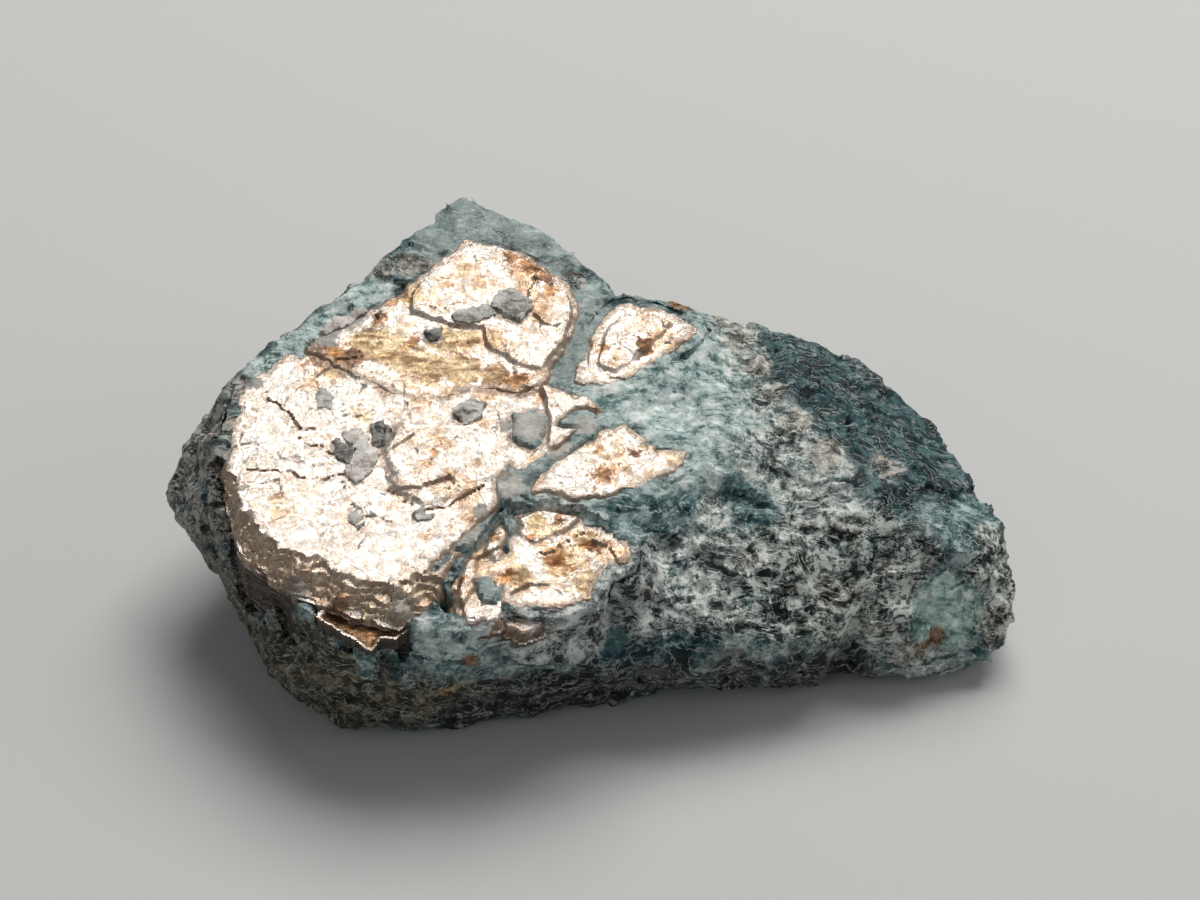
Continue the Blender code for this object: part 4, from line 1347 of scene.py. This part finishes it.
# %% The grains
# Each grain: its tone, its level, how far it stands up, and its outline
STONES = [
    ("stone", 0.30, 0.12, [
        (-3.8, 4.5), (-3.5, 5.1), (-2.9, 5.3), (-2.3, 4.6), (-2.2, 4.3), (-2.7, 3.7), (-3.4, 4.1),
    ]),
    ("stone", 0.20, 0.06, [(-5.3, 4.0), (-4.8, 4.5), (-3.8, 4.4), (-3.6, 4.1), (-4.6, 3.7), (-5.1, 3.7)]),
    ("stone", 0.0, 0.07, [(-10.3, 0.3), (-9.9, 0.7), (-9.5, 0.3), (-9.5, -0.4), (-10.0, -0.3)]),
    ("ash", 0.02, 0.10, [(-8.1, -1.1), (-7.6, -0.8), (-7.2, -1.3), (-7.4, -2.0), (-7.9, -2.1)]),
    ("ash", 0.0, 0.09, [(-9.5, -1.8), (-9.2, -1.7), (-8.7, -2.2), (-8.7, -2.8), (-9.2, -2.6)]),
    ("quartz", 0.0, 0.07, [
        (-9.3, -1.4), (-8.4, -1.2), (-8.0, -1.7), (-8.3, -2.3), (-8.8, -2.0), (-9.2, -1.7),
    ]),
    ("quartz", 0.0, 0.10, [
        (-8.6, -2.3), (-8.0, -2.0), (-7.7, -2.2), (-7.9, -3.2), (-8.5, -3.8), (-8.9, -3.3),
    ]),
    ("stone", 0.02, 0.07, [
        (-8.8, -4.5), (-8.6, -4.4), (-8.2, -5.1), (-8.1, -5.6), (-8.3, -5.9), (-8.6, -5.4),
    ]),
    ("stone", 0.02, 0.06, [(-6.5, -5.1), (-6.1, -4.9), (-5.5, -5.2), (-5.7, -5.5), (-6.2, -5.4)]),
    ("ash", 0.02, 0.08, [(-6.2, 3.3), (-5.6, 3.6), (-5.7, 2.9), (-6.0, 2.8)]),
    ("stone", 0.08, 0.10, [(-5.1, -0.4), (-4.5, 0.1), (-3.9, -0.1), (-3.9, -0.7), (-4.7, -1.2)]),
    ("quartz", -0.1, 0.12, [
        (-9.9, 3.4), (-9.0, 3.9), (-8.4, 4.5), (-8.8, 4.6), (-9.8, 3.9), (-10.2, 3.5),
    ]),
]
STONE_FACETS = {"Grain": 0.5, "Relief": 0.16, "Bend": 0.4, "Ripple": 0.03}
STONE_TEAR = 0.16
STONE_SEED = 80
STONE_CREASE = 30
print("there are", len(STONES), "grains to set")

# %% Set the grains
def dome(level, proud):
    """Heights of a grain that stands proud in its middle."""
    def heights(points, depth):
        return level + proud * np.sqrt(np.clip(depth / 0.35, 0, 1))
    return heights


stones = []
for number, (tone, level, proud, outline) in enumerate(STONES):
    edge = torn(outline, STONE_TEAR, STONE_SEED + number, step=0.07)
    stone = show("grain", slab("grain", edge, dome(level, proud), level - 0.5))
    places = corners_of(stone.data)
    write_attribute(stone.data, "rest", places / MM)
    write_attribute(stone.data, "relief", np.ones(len(places)))
    for name in PATCHES:
        write_attribute(stone.data, name, np.full(len(places), float(name == tone)))
    add_tree(stone, facets, {**STONE_FACETS, "Finish": green_finish})
    settle(stone)
    crease(stone.data, STONE_CREASE)
    stones.append(stone)
print("set", len(stones), "grains")

# %% [markdown]
# ## The ledge in front of the book
#
# Below the book's front edge, the end of one lower sheet sticks out as a small ledge. Its
# middle is hollow and painted dark brown, partly a brown stain and partly painted shade in
# the hollow, and its bright rim is what catches the light.

# %% The ledge
LEDGE_TOP = -1.05
LEDGE_FLOOR = -1.62
LEDGE_HOLLOW = 0.28
LEDGE_TEAR = 0.1
LEDGE_SEED = 60


def ledge_heights(points, depth):
    """Heights of the ledge, with its hollow middle."""
    hollow = smooth_step(depth, 0.08, 0.3) * LEDGE_HOLLOW
    return LEDGE_TOP - hollow + noise_rows(points, 2.0, LEDGE_SEED + 1) * 0.12


ledge_edge = torn(BOOK_LEDGE, LEDGE_TEAR, LEDGE_SEED)
ledge = show("ledge", slab("ledge", ledge_edge, ledge_heights, LEDGE_FLOOR))
write_attribute(ledge.data, "rest", to_sheet(corners_of(ledge.data)))
write_attribute(ledge.data, "rim", np.zeros(len(ledge.data.vertices)))
crease(ledge.data, MICA_CREASE)
print("the ledge has", len(ledge.data.polygons), "faces")

# %% [markdown]
# ## Stains and dirt on the mica
#
# Iron stains the sheets amber and brown in round spots, thin spots look olive-gold, and
# crushed rock fills some hollows. The row of olive spots along the fold below the peak plate
# is partly painted shade. As on the rock, each stain is a named soft spot, here in
# the plane of the sheets, so it also runs down through the sheets of the stack.

# %% The stains
# Each spot has its centre and its radius in sheet millimetres
STAINS = {
    "amber": [
        ((-6.2, 0.2), 0.9), ((-5.4, -2.0), 0.9), ((-5.9, -3.0), 0.5), ((-5.9, -6.2), 0.5),
        ((-11.0, -5.1), 1.0), ((-11.2, -4.4), 0.6), ((-6.6, 1.0), 1.0), ((-5.4, 0.6), 0.9),
        ((-6.2, 4.8), 0.9), ((-4.9, 6.2), 0.8), ((-5.4, 5.6), 0.7), ((2.3, 2.9), 1.1),
        ((1.0, -2.7), 1.3), ((2.9, -2.7), 0.6), ((-1.3, -7.3), 1.3), ((-0.6, -6.6), 1.2),
        ((-2.9, -6.6), 0.6), ((-8.4, -0.6), 0.8), ((-4.2, 5.6), 0.8), ((-1.6, -5.7), 0.7),
        ((0.2, -2.2), 0.7), ((-9.6, 1.6), 1.0), ((-10.4, 0.9), 0.7), ((-3.5, -5.6), 0.6),
        ((0.3, -6.3), 0.8), ((-5.2, -3.6), 0.7), ((-3.6, 2.9), 0.6), ((-1.9, 4.4), 0.7),
    ],
    "brown": [
        ((-2.4, 6.5), 1.1), ((-1.8, 6.0), 1.0), ((-3.0, 6.9), 0.8), ((-1.6, 5.2), 0.6),
        ((-10.4, 2.2), 0.7), ((-9.6, 2.3), 0.9), ((-2.7, 0.9), 0.9), ((-7.6, 4.8), 0.45),
        ((-8.0, 4.1), 0.45), ((1.9, 2.6), 0.6), ((0.4, 2.5), 0.35), ((0.4, -3.4), 0.7),
        ((-1.2, -5.1), 0.4), ((-3.5, -6.0), 0.5), ((-4.7, -7.8), 0.5), ((-1.2, -6.9), 0.9),
        ((-3.0, -7.6), 0.5), ((-2.2, -5.9), 0.4), ((-10.7, -7.8), 0.5), ((-5.7, -2.5), 0.4),
        ((1.6, -2.5), 0.4), ((-0.1, -6.2), 0.6), ((-6.7, 2.9), 0.5), ((-8.9, -8.6), 0.5),
    ],
    "umber": [((-9.9, 2.3), 0.9), ((-9.3, 1.9), 0.9), ((-10.3, 2.5), 0.6), ((-8.9, 2.2), 0.6)],
    # olive: olive-gold spots; the row from (-8.2, 2.8) to (-3.6, 1.3) along the fold below the peak plate
    # is partly painted shade
    "olive": [
        ((-8.2, 2.8), 1.1), ((-7.4, 2.5), 1.0), ((-6.6, 2.0), 0.9), ((-5.9, 1.7), 0.9),
        ((-4.8, 1.6), 0.9), ((-3.6, 1.3), 0.7), ((-1.6, 6.9), 0.7), ((-0.2, -7.8), 0.6),
        ((-1.2, -6.9), 0.8), ((-2.6, -7.6), 0.7), ((-0.2, -6.0), 0.6), ((-2.0, -5.3), 0.5),
        ((-6.9, 5.3), 0.7), ((-5.6, 3.0), 0.8), ((-4.6, 3.0), 0.6),
    ],
    "rock_dust": [
        ((-9.1, -2.2), 0.7), ((-5.9, 3.2), 0.6), ((-9.2, 4.2), 1.0), ((-4.6, -0.4), 0.7),
        ((-3.2, -1.1), 0.6), ((-10.6, -8.0), 0.7), ((-6.6, -9.0), 0.8), ((-12.9, -4.6), 0.5),
        ((-9.9, 3.1), 0.8), ((-6.1, -5.2), 0.5), ((-4.0, -4.9), 0.5), ((-12.4, 1.0), 0.5),
    ],
}
print("there are", len(STAINS), "kinds of stain")

# %% Write the stains onto the mica
def stain_mica(mesh):
    """Writes the stains and the dark of the cracks onto a mica mesh."""
    spots = to_sheet(corners_of(mesh))
    for name, balls in STAINS.items():
        flat = [((*centre, 0.0), radius) for centre, radius in balls]
        write_attribute(mesh, name, patch_depth(spots * np.array([1, 1, 0]), flat))
    _, darkness = crack_depths(spots[:, :2])
    write_attribute(mesh, "crack", darkness * smooth_step(spots[:, 2], -1.3, -0.9))


def fringe_share(points, edge):
    """1 at the torn edge of a crystal and beside a fill, and 0 half a millimetre away."""
    depth, _ = depth_inside(points, edge)
    fringe = 1 - smooth_step(depth, 0.0, 0.5)
    for fill_edge, _ in FILL_EDGES:
        depth, _ = depth_inside(points, fill_edge)
        fringe = np.maximum(fringe, 1 - smooth_step(-depth, 0.0, 0.4))
    return fringe


for piece in (*mica_pieces.values(), ledge):
    stain_mica(piece.data)
for name, piece in mica_pieces.items():
    if name in SMALL_FLAKES:
        continue
    spots = to_sheet(corners_of(piece.data))[:, :2]
    write_attribute(piece.data, "fringe", fringe_share(spots, EDGES[name]))
ledge_spots = to_sheet(corners_of(ledge.data))
depth, _ = depth_inside(ledge_spots[:, :2], ledge_edge)
# The ledge's hollow gets the brown stain: partly a real stain, partly painted shade in the hollow
hollow = smooth_step(depth, 0.1, 0.22) * (1 - smooth_step(ledge_spots[:, 0], -7.2, -6.8))
write_attribute(ledge.data, "brown", hollow)
print("stained", len(mica_pieces), "crystals")

# %% [markdown]
# ## The stack of sheets under the book
#
# The left and front sides of the book are free, and show the edges of hundreds of sheets. A
# Geometry Nodes tree is right for it: one outline is duplicated, each copy is lowered by its
# index and drawn in or out by noise, and each is extruded to the thickness of a sheet.

# %% The tree that stacks sheets
def stack_tree():
    tree, board = new_tree(
        "Stack sheets",
        [
            ("Count", "NodeSocketInt", 20),
            ("Pitch", "NodeSocketFloat", 0.12),
            ("Thickness", "NodeSocketFloat", 0.09),
            ("Ragged", "NodeSocketFloat", 0.2),
            ("Finish", "NodeSocketMaterial", None),
        ],
    )
    group = board.node("NodeGroupInput")
    up = SHEET_UP[:]
    copies = board.node(
        "GeometryNodeDuplicateElements",
        {"domain": "FACE"},
        {"Geometry": group["Geometry"], "Amount": group["Count"]},
    )
    index = copies["Duplicate Index"]
    position = board.node("GeometryNodeInputPosition")["Position"]
    place = board.vector("SCALE", position, 1 / MM)
    lowered = board.vector("SCALE", up, index * 2.7)
    sway = board.noise(board.vector("ADD", place, lowered), 0.9, 3.0, 0.7, "Color")
    centred = board.vector("SUBTRACT", sway, MIDDLE)
    upright = board.vector("DOT_PRODUCT", centred, up)
    flat = board.vector("SUBTRACT", centred, board.vector("SCALE", up, upright))
    aside = board.vector("SCALE", flat, group["Ragged"] * MM)
    down = board.vector("SCALE", up, index * group["Pitch"] * -MM)
    moved = board.node(
        "GeometryNodeSetPosition",
        None,
        {"Geometry": copies["Geometry"], "Offset": board.vector("ADD", aside, down)},
    )
    thick = board.node(
        "GeometryNodeExtrudeMesh",
        {"mode": "FACES"},
        {
            "Mesh": moved["Geometry"],
            "Offset": board.vector("SCALE", up, 1.0),
            "Offset Scale": group["Thickness"] * MM,
        },
    )
    back = board.node("GeometryNodeFlipFaces", None, {"Mesh": moved["Geometry"]})
    closed = board.node("GeometryNodeJoinGeometry", None, None)
    tree.links.new(back["Mesh"].socket, closed.node.inputs[0])
    tree.links.new(thick["Mesh"].socket, closed.node.inputs[0])
    merged = board.node(
        "GeometryNodeMergeByDistance", None, {"Geometry": closed["Geometry"], "Distance": 1e-7}
    )
    end_tree(board, merged["Geometry"], group["Finish"])
    return tree


stacks = stack_tree()
print("the stacking tree has", len(stacks.nodes), "nodes")

# %% Stack the sheets
STACK_TOP = -0.98
STACK_TEAR = 0.08
STACK_SEED = 77
STACK = {"Count": 24, "Pitch": 0.12, "Thickness": 0.085, "Ragged": 0.7}


def face_of(outline, height):
    """One flat face of this outline at a height over the sheets."""
    points = to_world(np.column_stack([outline, np.full(len(outline), height)]))
    mesh = bpy.data.meshes.new("outline")
    mesh.from_pydata(points.tolist(), [], [list(range(len(points)))])
    return mesh


stack = show("book_stack", face_of(torn(BOOK, STACK_TEAR, STACK_SEED, 0.15), STACK_TOP))
add_tree(stack, stacks, {**STACK, "Finish": bronze_finish})
settle(stack)
stain_mica(stack.data)
write_attribute(stack.data, "rest", to_sheet(corners_of(stack.data)))
print("the stack has", len(stack.data.polygons), "faces")

# %% [markdown]
# ## The finish of the mica
#
# Mica is a stack of clear films with air between them, which together act as a mirror: that
# is why it looks metallic though it isn't metal. Metallic around 0.8 with a pinkish white
# colour gives it. Where a face is stained, the films are tinted and duller, and the broken
# edges of the sheets don't mirror at all. They look brown, and low on the stack they are
# painted near-black, which is partly painted shade. The light specks of the crumbled rim
# are partly painted glints.

# %% The mica's tones
# Each finish of the mica goes from its first colour to its second
MICA = {
    "face": ((0.97, 0.88, 0.79), (0.82, 0.62, 0.49)),
    # rim: its light specks are partly painted glints of the crumbled sheets
    "rim": ((0.12, 0.07, 0.04), (0.97, 0.80, 0.62)),
    "gold": ((0.22, 0.115, 0.04), (0.78, 0.60, 0.37)),
    "umber": ((0.10, 0.045, 0.025), (0.38, 0.22, 0.14)),
    "amber": ((0.36, 0.15, 0.04), (0.95, 0.72, 0.44)),
    "brown": ((0.12, 0.04, 0.012), (0.58, 0.30, 0.13)),
    "worn": ((0.20, 0.135, 0.09), (0.62, 0.50, 0.39)),
    "dust": ((0.14, 0.16, 0.16), (0.56, 0.54, 0.50)),
    # sides: the near-black tones are partly painted shade of the shaded lower wall of the stack
    "sides": ((0.014, 0.011, 0.008), (0.15, 0.11, 0.08)),
}
RIM_GOLD = (0.62, 0.38, 0.16)
TAN = (0.70, 0.47, 0.31)
DARK_TAN = (0.36, 0.23, 0.11)
AMBER_PINK = (0.90, 0.66, 0.50)
HAIR_BROWN = (0.34, 0.20, 0.12)
CRACK_BROWN = (0.13, 0.07, 0.04)
# UPPER_SIDES: the lighter brown of the sides near the face; lower down they go near-black, partly painted
# shade
UPPER_SIDES = (0.42, 0.29, 0.20)
print("there are", len(MICA), "pairs of mica tones")

# %% The noises under the mica's pattern
board, shader = bronze_board, bronze_shader
place = board.attribute("rest", "Vector")
across = board.node("ShaderNodeSeparateXYZ", None, {"Vector": place})
face_normal = board.node("ShaderNodeNewGeometry")["True Normal"]
flatness = board.vector("DOT_PRODUCT", face_normal, SHEET_UP[:])
rim = board.attribute("rim")
edge = 1 - flatness.step(0.35, 0.75)
wobble = board.noise(place, 1.7, 5.0, 0.72) - 0.5
ragged = wobble + (board.noise(place, 5.5, 4.0, 0.7) - 0.5) * 0.8
mottle = board.noise(place, 3.2, 4.0, 0.65)
speck = board.noise(place, 9.0, 3.0, 0.6)
tan = board.noise(place, 0.6, 5.0, 0.7)
streak = board.noise(board.vector("MULTIPLY", place, (0.7, 2.0, 1.0)), 1.3, 4.0, 0.62)
layers = board.noise(board.vector("MULTIPLY", place, (0.5, 0.5, 12.0)), 1.6, 4.0, 0.7)
print("the mica's noises are ready")

# %% Stains and hairlines
def stain(name, low, high, tear):
    """A stain with a ragged border."""
    return (board.attribute(name) + ragged * tear).step(low, high)


def hairlines(size, width):
    """Fine cracks between plates, each with gaps."""
    gaps = board.noise(place, 1.1 / size, 2.0, 0.6).step(0.5, 0.62)
    borders = board.borders(grain_place(board, place, size, 1.0), size)
    return (1 - borders.step(width * 0.3, width)) * gaps


print("stains and hairlines can be drawn")

# %% The mica's colour
colour = board.mix(mottle.step(0.48, 0.75), *MICA["face"])
# The crumbled rim: dark and light specks with a gold tint, the light specks partly painted glints
rim_tone_and_glints = board.mix(speck.step(0.34, 0.52), *MICA["rim"])
rim_tone_and_glints = board.mix(mottle.step(0.5, 0.62) * 0.6, rim_tone_and_glints, RIM_GOLD)
colour = board.mix(rim.step(0.05, 0.5), colour, rim_tone_and_glints)
warmth = across["X"].step(-11.0, -2.0) * 0.7 + 0.3
colour = board.mix(tan.step(0.47, 0.62) * warmth, colour, TAN)
colour = board.mix(tan.step(0.6, 0.7) * warmth * 0.7, colour, DARK_TAN)
gold = board.mix(streak.step(0.36, 0.62), *MICA["gold"])
# Olive-gold spots, partly painted shade where they run along the fold below the peak plate
colour = board.mix(stain("olive", 0.05, 0.35, 1.0) * 0.95, colour, gold)
umber = board.mix(ragged.step(-0.2, 0.3), *MICA["umber"])
colour = board.mix(stain("umber", 0.15, 0.4, 1.0) * 0.95, colour, umber)
amber = board.mix(streak.step(0.34, 0.66), *MICA["amber"])
amber = board.mix(speck.step(0.45, 0.6) * 0.5, amber, AMBER_PINK)
colour = board.mix(stain("amber", 0.25, 0.95, 2.4) * 0.9, colour, amber)
brown = board.mix(streak.step(0.38, 0.64), *MICA["brown"])
colour = board.mix(stain("brown", 0.3, 0.6, 2.2) * 0.92, colour, brown)
print("the faces are stained")

# %% Fringes, dust, cracks and sides
fringe = (board.attribute("fringe") + ragged * 1.3).step(0.5, 1.0) * (1 - rim)
colour = board.mix(fringe * 0.75, colour, board.mix(speck.step(0.4, 0.6), *MICA["worn"]))
dust = stain("rock_dust", 0.3, 0.5, 1.6)
colour = board.mix(dust * 0.8, colour, board.mix(speck, *MICA["dust"]))
hair = hairlines(1.7, 0.016) * 0.5 + hairlines(0.6, 0.03) * 0.15
colour = board.mix(hair, colour, HAIR_BROWN)
crack = board.attribute("crack").step(0.2, 0.9)
colour = board.mix(crack * 0.85, colour, CRACK_BROWN)
# Sides of the sheets: brown near the face, darkening to near-black low on the stack; the near-black is
# partly painted shade
sides = board.mix(layers.step(0.35, 0.7), *MICA["sides"])
sides = board.mix(across["Z"].step(-1.3, -0.4), sides, UPPER_SIDES)
colour = board.mix(edge * (1 - rim * 0.6), colour, sides)
print("the mica's colour is ready")

# %% The mica's mirror and wrinkles
METALLIC = 0.87
MICA_BUMP = 0.35
MICA_BUMP_HEIGHT = 0.00035
WISPS = {"Scale": 2.2, "Detail": 6.0, "Roughness": 0.72, "Distortion": 1.2}

mirror = (1 - edge * 0.9) * (1 - dust * 0.8) * (1 - crack * 0.8) * (1 - hair * 0.5) * METALLIC
mirror = mirror * (1 - fringe * 0.4) * (1 - rim.step(0.1, 0.6) * 0.25)
rough = 0.17 + mottle * 0.18 + edge * 0.2 + dust * 0.3
wisps = board.node("ShaderNodeTexNoise", None, {"Vector": place, **WISPS})["Fac"]
wrinkles = wisps + speck * 0.25 - hair * 0.1
values = {"Height": wrinkles, "Strength": MICA_BUMP, "Distance": MICA_BUMP_HEIGHT}
bump = board.node("ShaderNodeBump", None, values)
connect(bronze_finish, shader, colour, rough, bump)
bronze_finish.node_tree.links.new(mirror.socket, shader.inputs["Metallic"])
print("the mica's finish has", len(bronze_finish.node_tree.nodes), "nodes")

# %% [markdown]
# ## Placing the pieces
#
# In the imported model, the lump and each crystal are one body each. So the grains go into the
# rock's mesh, the ledge and the stack into the book's, and the small flakes into the front
# plate's. Each finished piece then takes the place of its plain solid.

# %% Join what grew together
def join(pieces, name):
    """One piece from several, with every part's mesh in it."""
    bm = bmesh.new()
    for piece in pieces:
        bm.from_mesh(piece.data)
    mesh = pieces[0].data.copy()
    bm.to_mesh(mesh)
    bm.free()
    for piece in pieces:
        bpy.data.objects.remove(piece, do_unlink=True)
    mesh.name = name
    return show(name, mesh)


mica_pieces["mica_book"] = join([mica_pieces["mica_book"], ledge, stack], "mica_book_sheets")
front_pieces = [mica_pieces.pop(name) for name in ("mica_front_plate", *SMALL_FLAKES)]
mica_pieces["mica_front_plate"] = join(front_pieces, "mica_front_sheets")
rock = join([rock, *stones], "grandidierite_rock")
print("joined", rock.name, "and", [piece.name for piece in mica_pieces.values()])

# %% Place the pieces
rock.data.materials.clear()
rock.data.materials.append(green_finish)
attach(rock, "root")
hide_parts("grandidierite_mass")
for name, piece in mica_pieces.items():
    piece.data.materials.clear()
    piece.data.materials.append(bronze_finish)
    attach(piece, "root")
    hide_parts(name)
print("placed", [piece.name for piece in mica_pieces.values()])

# %% [markdown]
# ## Floor, light and camera
#
# The photograph was taken from about 45 degrees above with a broad light behind the object.
# A mirror shows what stands opposite to the eye, so that light sits where the sheets mirror
# the camera: 58 degrees up, behind. A weak fill from the front keeps the near side readable.

# %% The floor
REACH = 1.5
FLOOR_CORNERS = [(-REACH, -REACH, 0), (REACH, -REACH, 0), (REACH, REACH, 0), (-REACH, REACH, 0)]

floor_mesh = bpy.data.meshes.new("floor")
floor_mesh.from_pydata(FLOOR_CORNERS, [], [(0, 1, 2, 3)])
floor = show("floor", floor_mesh)
floor_finish, _, shader = new_finish("pale_floor")
shader.inputs["Base Color"].default_value = (0.62, 0.62, 0.61, 1)
shader.inputs["Roughness"].default_value = 0.85
floor.data.materials.append(floor_finish)
floor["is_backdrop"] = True
print("the floor reaches", REACH, "m each way")

# %% [markdown]
# ## Lights
#
# Each light is a soft rectangle, sized in metres, because a small bright lamp would show as
# hard dots in the mica. The warmest and strongest stands behind, and the sky is a dim blue.

# %% Lights
AIM = (0, 0, 0.006)
SKY = (0.8, 0.85, 0.9, 1)
SKY_STRENGTH = 0.13


def aim(item, place, target):
    """Places a light or a camera and turns it to its target."""
    item.location = place
    item.rotation_euler = (Vector(target) - Vector(place)).to_track_quat("-Z", "Y").to_euler()


def softbox(name, place, size, watts, colour=(1, 1, 1)):
    """A rectangular light that looks at the middle of the specimen."""
    lamp = bpy.data.lights.new(name, "AREA")
    lamp.shape = "RECTANGLE"
    lamp.size, lamp.size_y = size
    lamp.energy = watts
    lamp.color = colour
    item = bpy.data.objects.new(name, lamp)
    bpy.context.scene.collection.objects.link(item)
    aim(item, place, AIM)


softbox("light_behind", (0.06, 0.17, 0.275), (0.24, 0.18), 0.98, (1.0, 0.98, 0.955))
softbox("light_front", (-0.12, -0.25, 0.22), (0.3, 0.3), 0.09)
softbox("light_right", (0.32, 0.0, 0.16), (0.2, 0.2), 0.14)

world = bpy.data.worlds.new("studio")
world.use_nodes = True
background = world.node_tree.nodes["Background"]
background.inputs["Color"].default_value = SKY
background.inputs["Strength"].default_value = SKY_STRENGTH
bpy.context.scene.world = world
bpy.context.scene.view_settings.view_transform = "Standard"
print("the lights are", [lamp.name for lamp in bpy.data.lights])

# %% [markdown]
# ## Camera
#
# The lens is long, as in a close-up taken from some way off, so that the specimen's far end
# isn't much smaller than its near end. The lens's length was worked out in pixels of the
# photograph, and the photograph's width turns it into millimetres for a sensor 36 mm wide.

# %% Camera
LOOK_AT = Vector((0.371, 0.1, 5.0)) * MM
DISTANCE = 125 * MM
ELEVATION = math.radians(45)
SENSOR = 36
PHOTO_WIDTH = 1200
FOCAL_PIXELS = 3337
CLIP_START = 0.005

camera_data = bpy.data.cameras.new("camera")
camera_data.sensor_width = SENSOR
camera_data.lens = FOCAL_PIXELS / PHOTO_WIDTH * SENSOR
camera_data.clip_start = CLIP_START
camera = bpy.data.objects.new("camera", camera_data)
bpy.context.scene.collection.objects.link(camera)
towards = Vector((0, -math.cos(ELEVATION), math.sin(ELEVATION)))
aim(camera, LOOK_AT + towards * DISTANCE, LOOK_AT)
bpy.context.scene.camera = camera
print("the lens is", round(camera_data.lens), "mm long")

# %% Sizes, and the end
def plain(box):
    """A box as plain lists of numbers."""
    return [[float(number) for number in corner] for corner in box]


sizes = {"cad": plain(cad_box), "visual": plain(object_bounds())}
print("sizes", sizes)
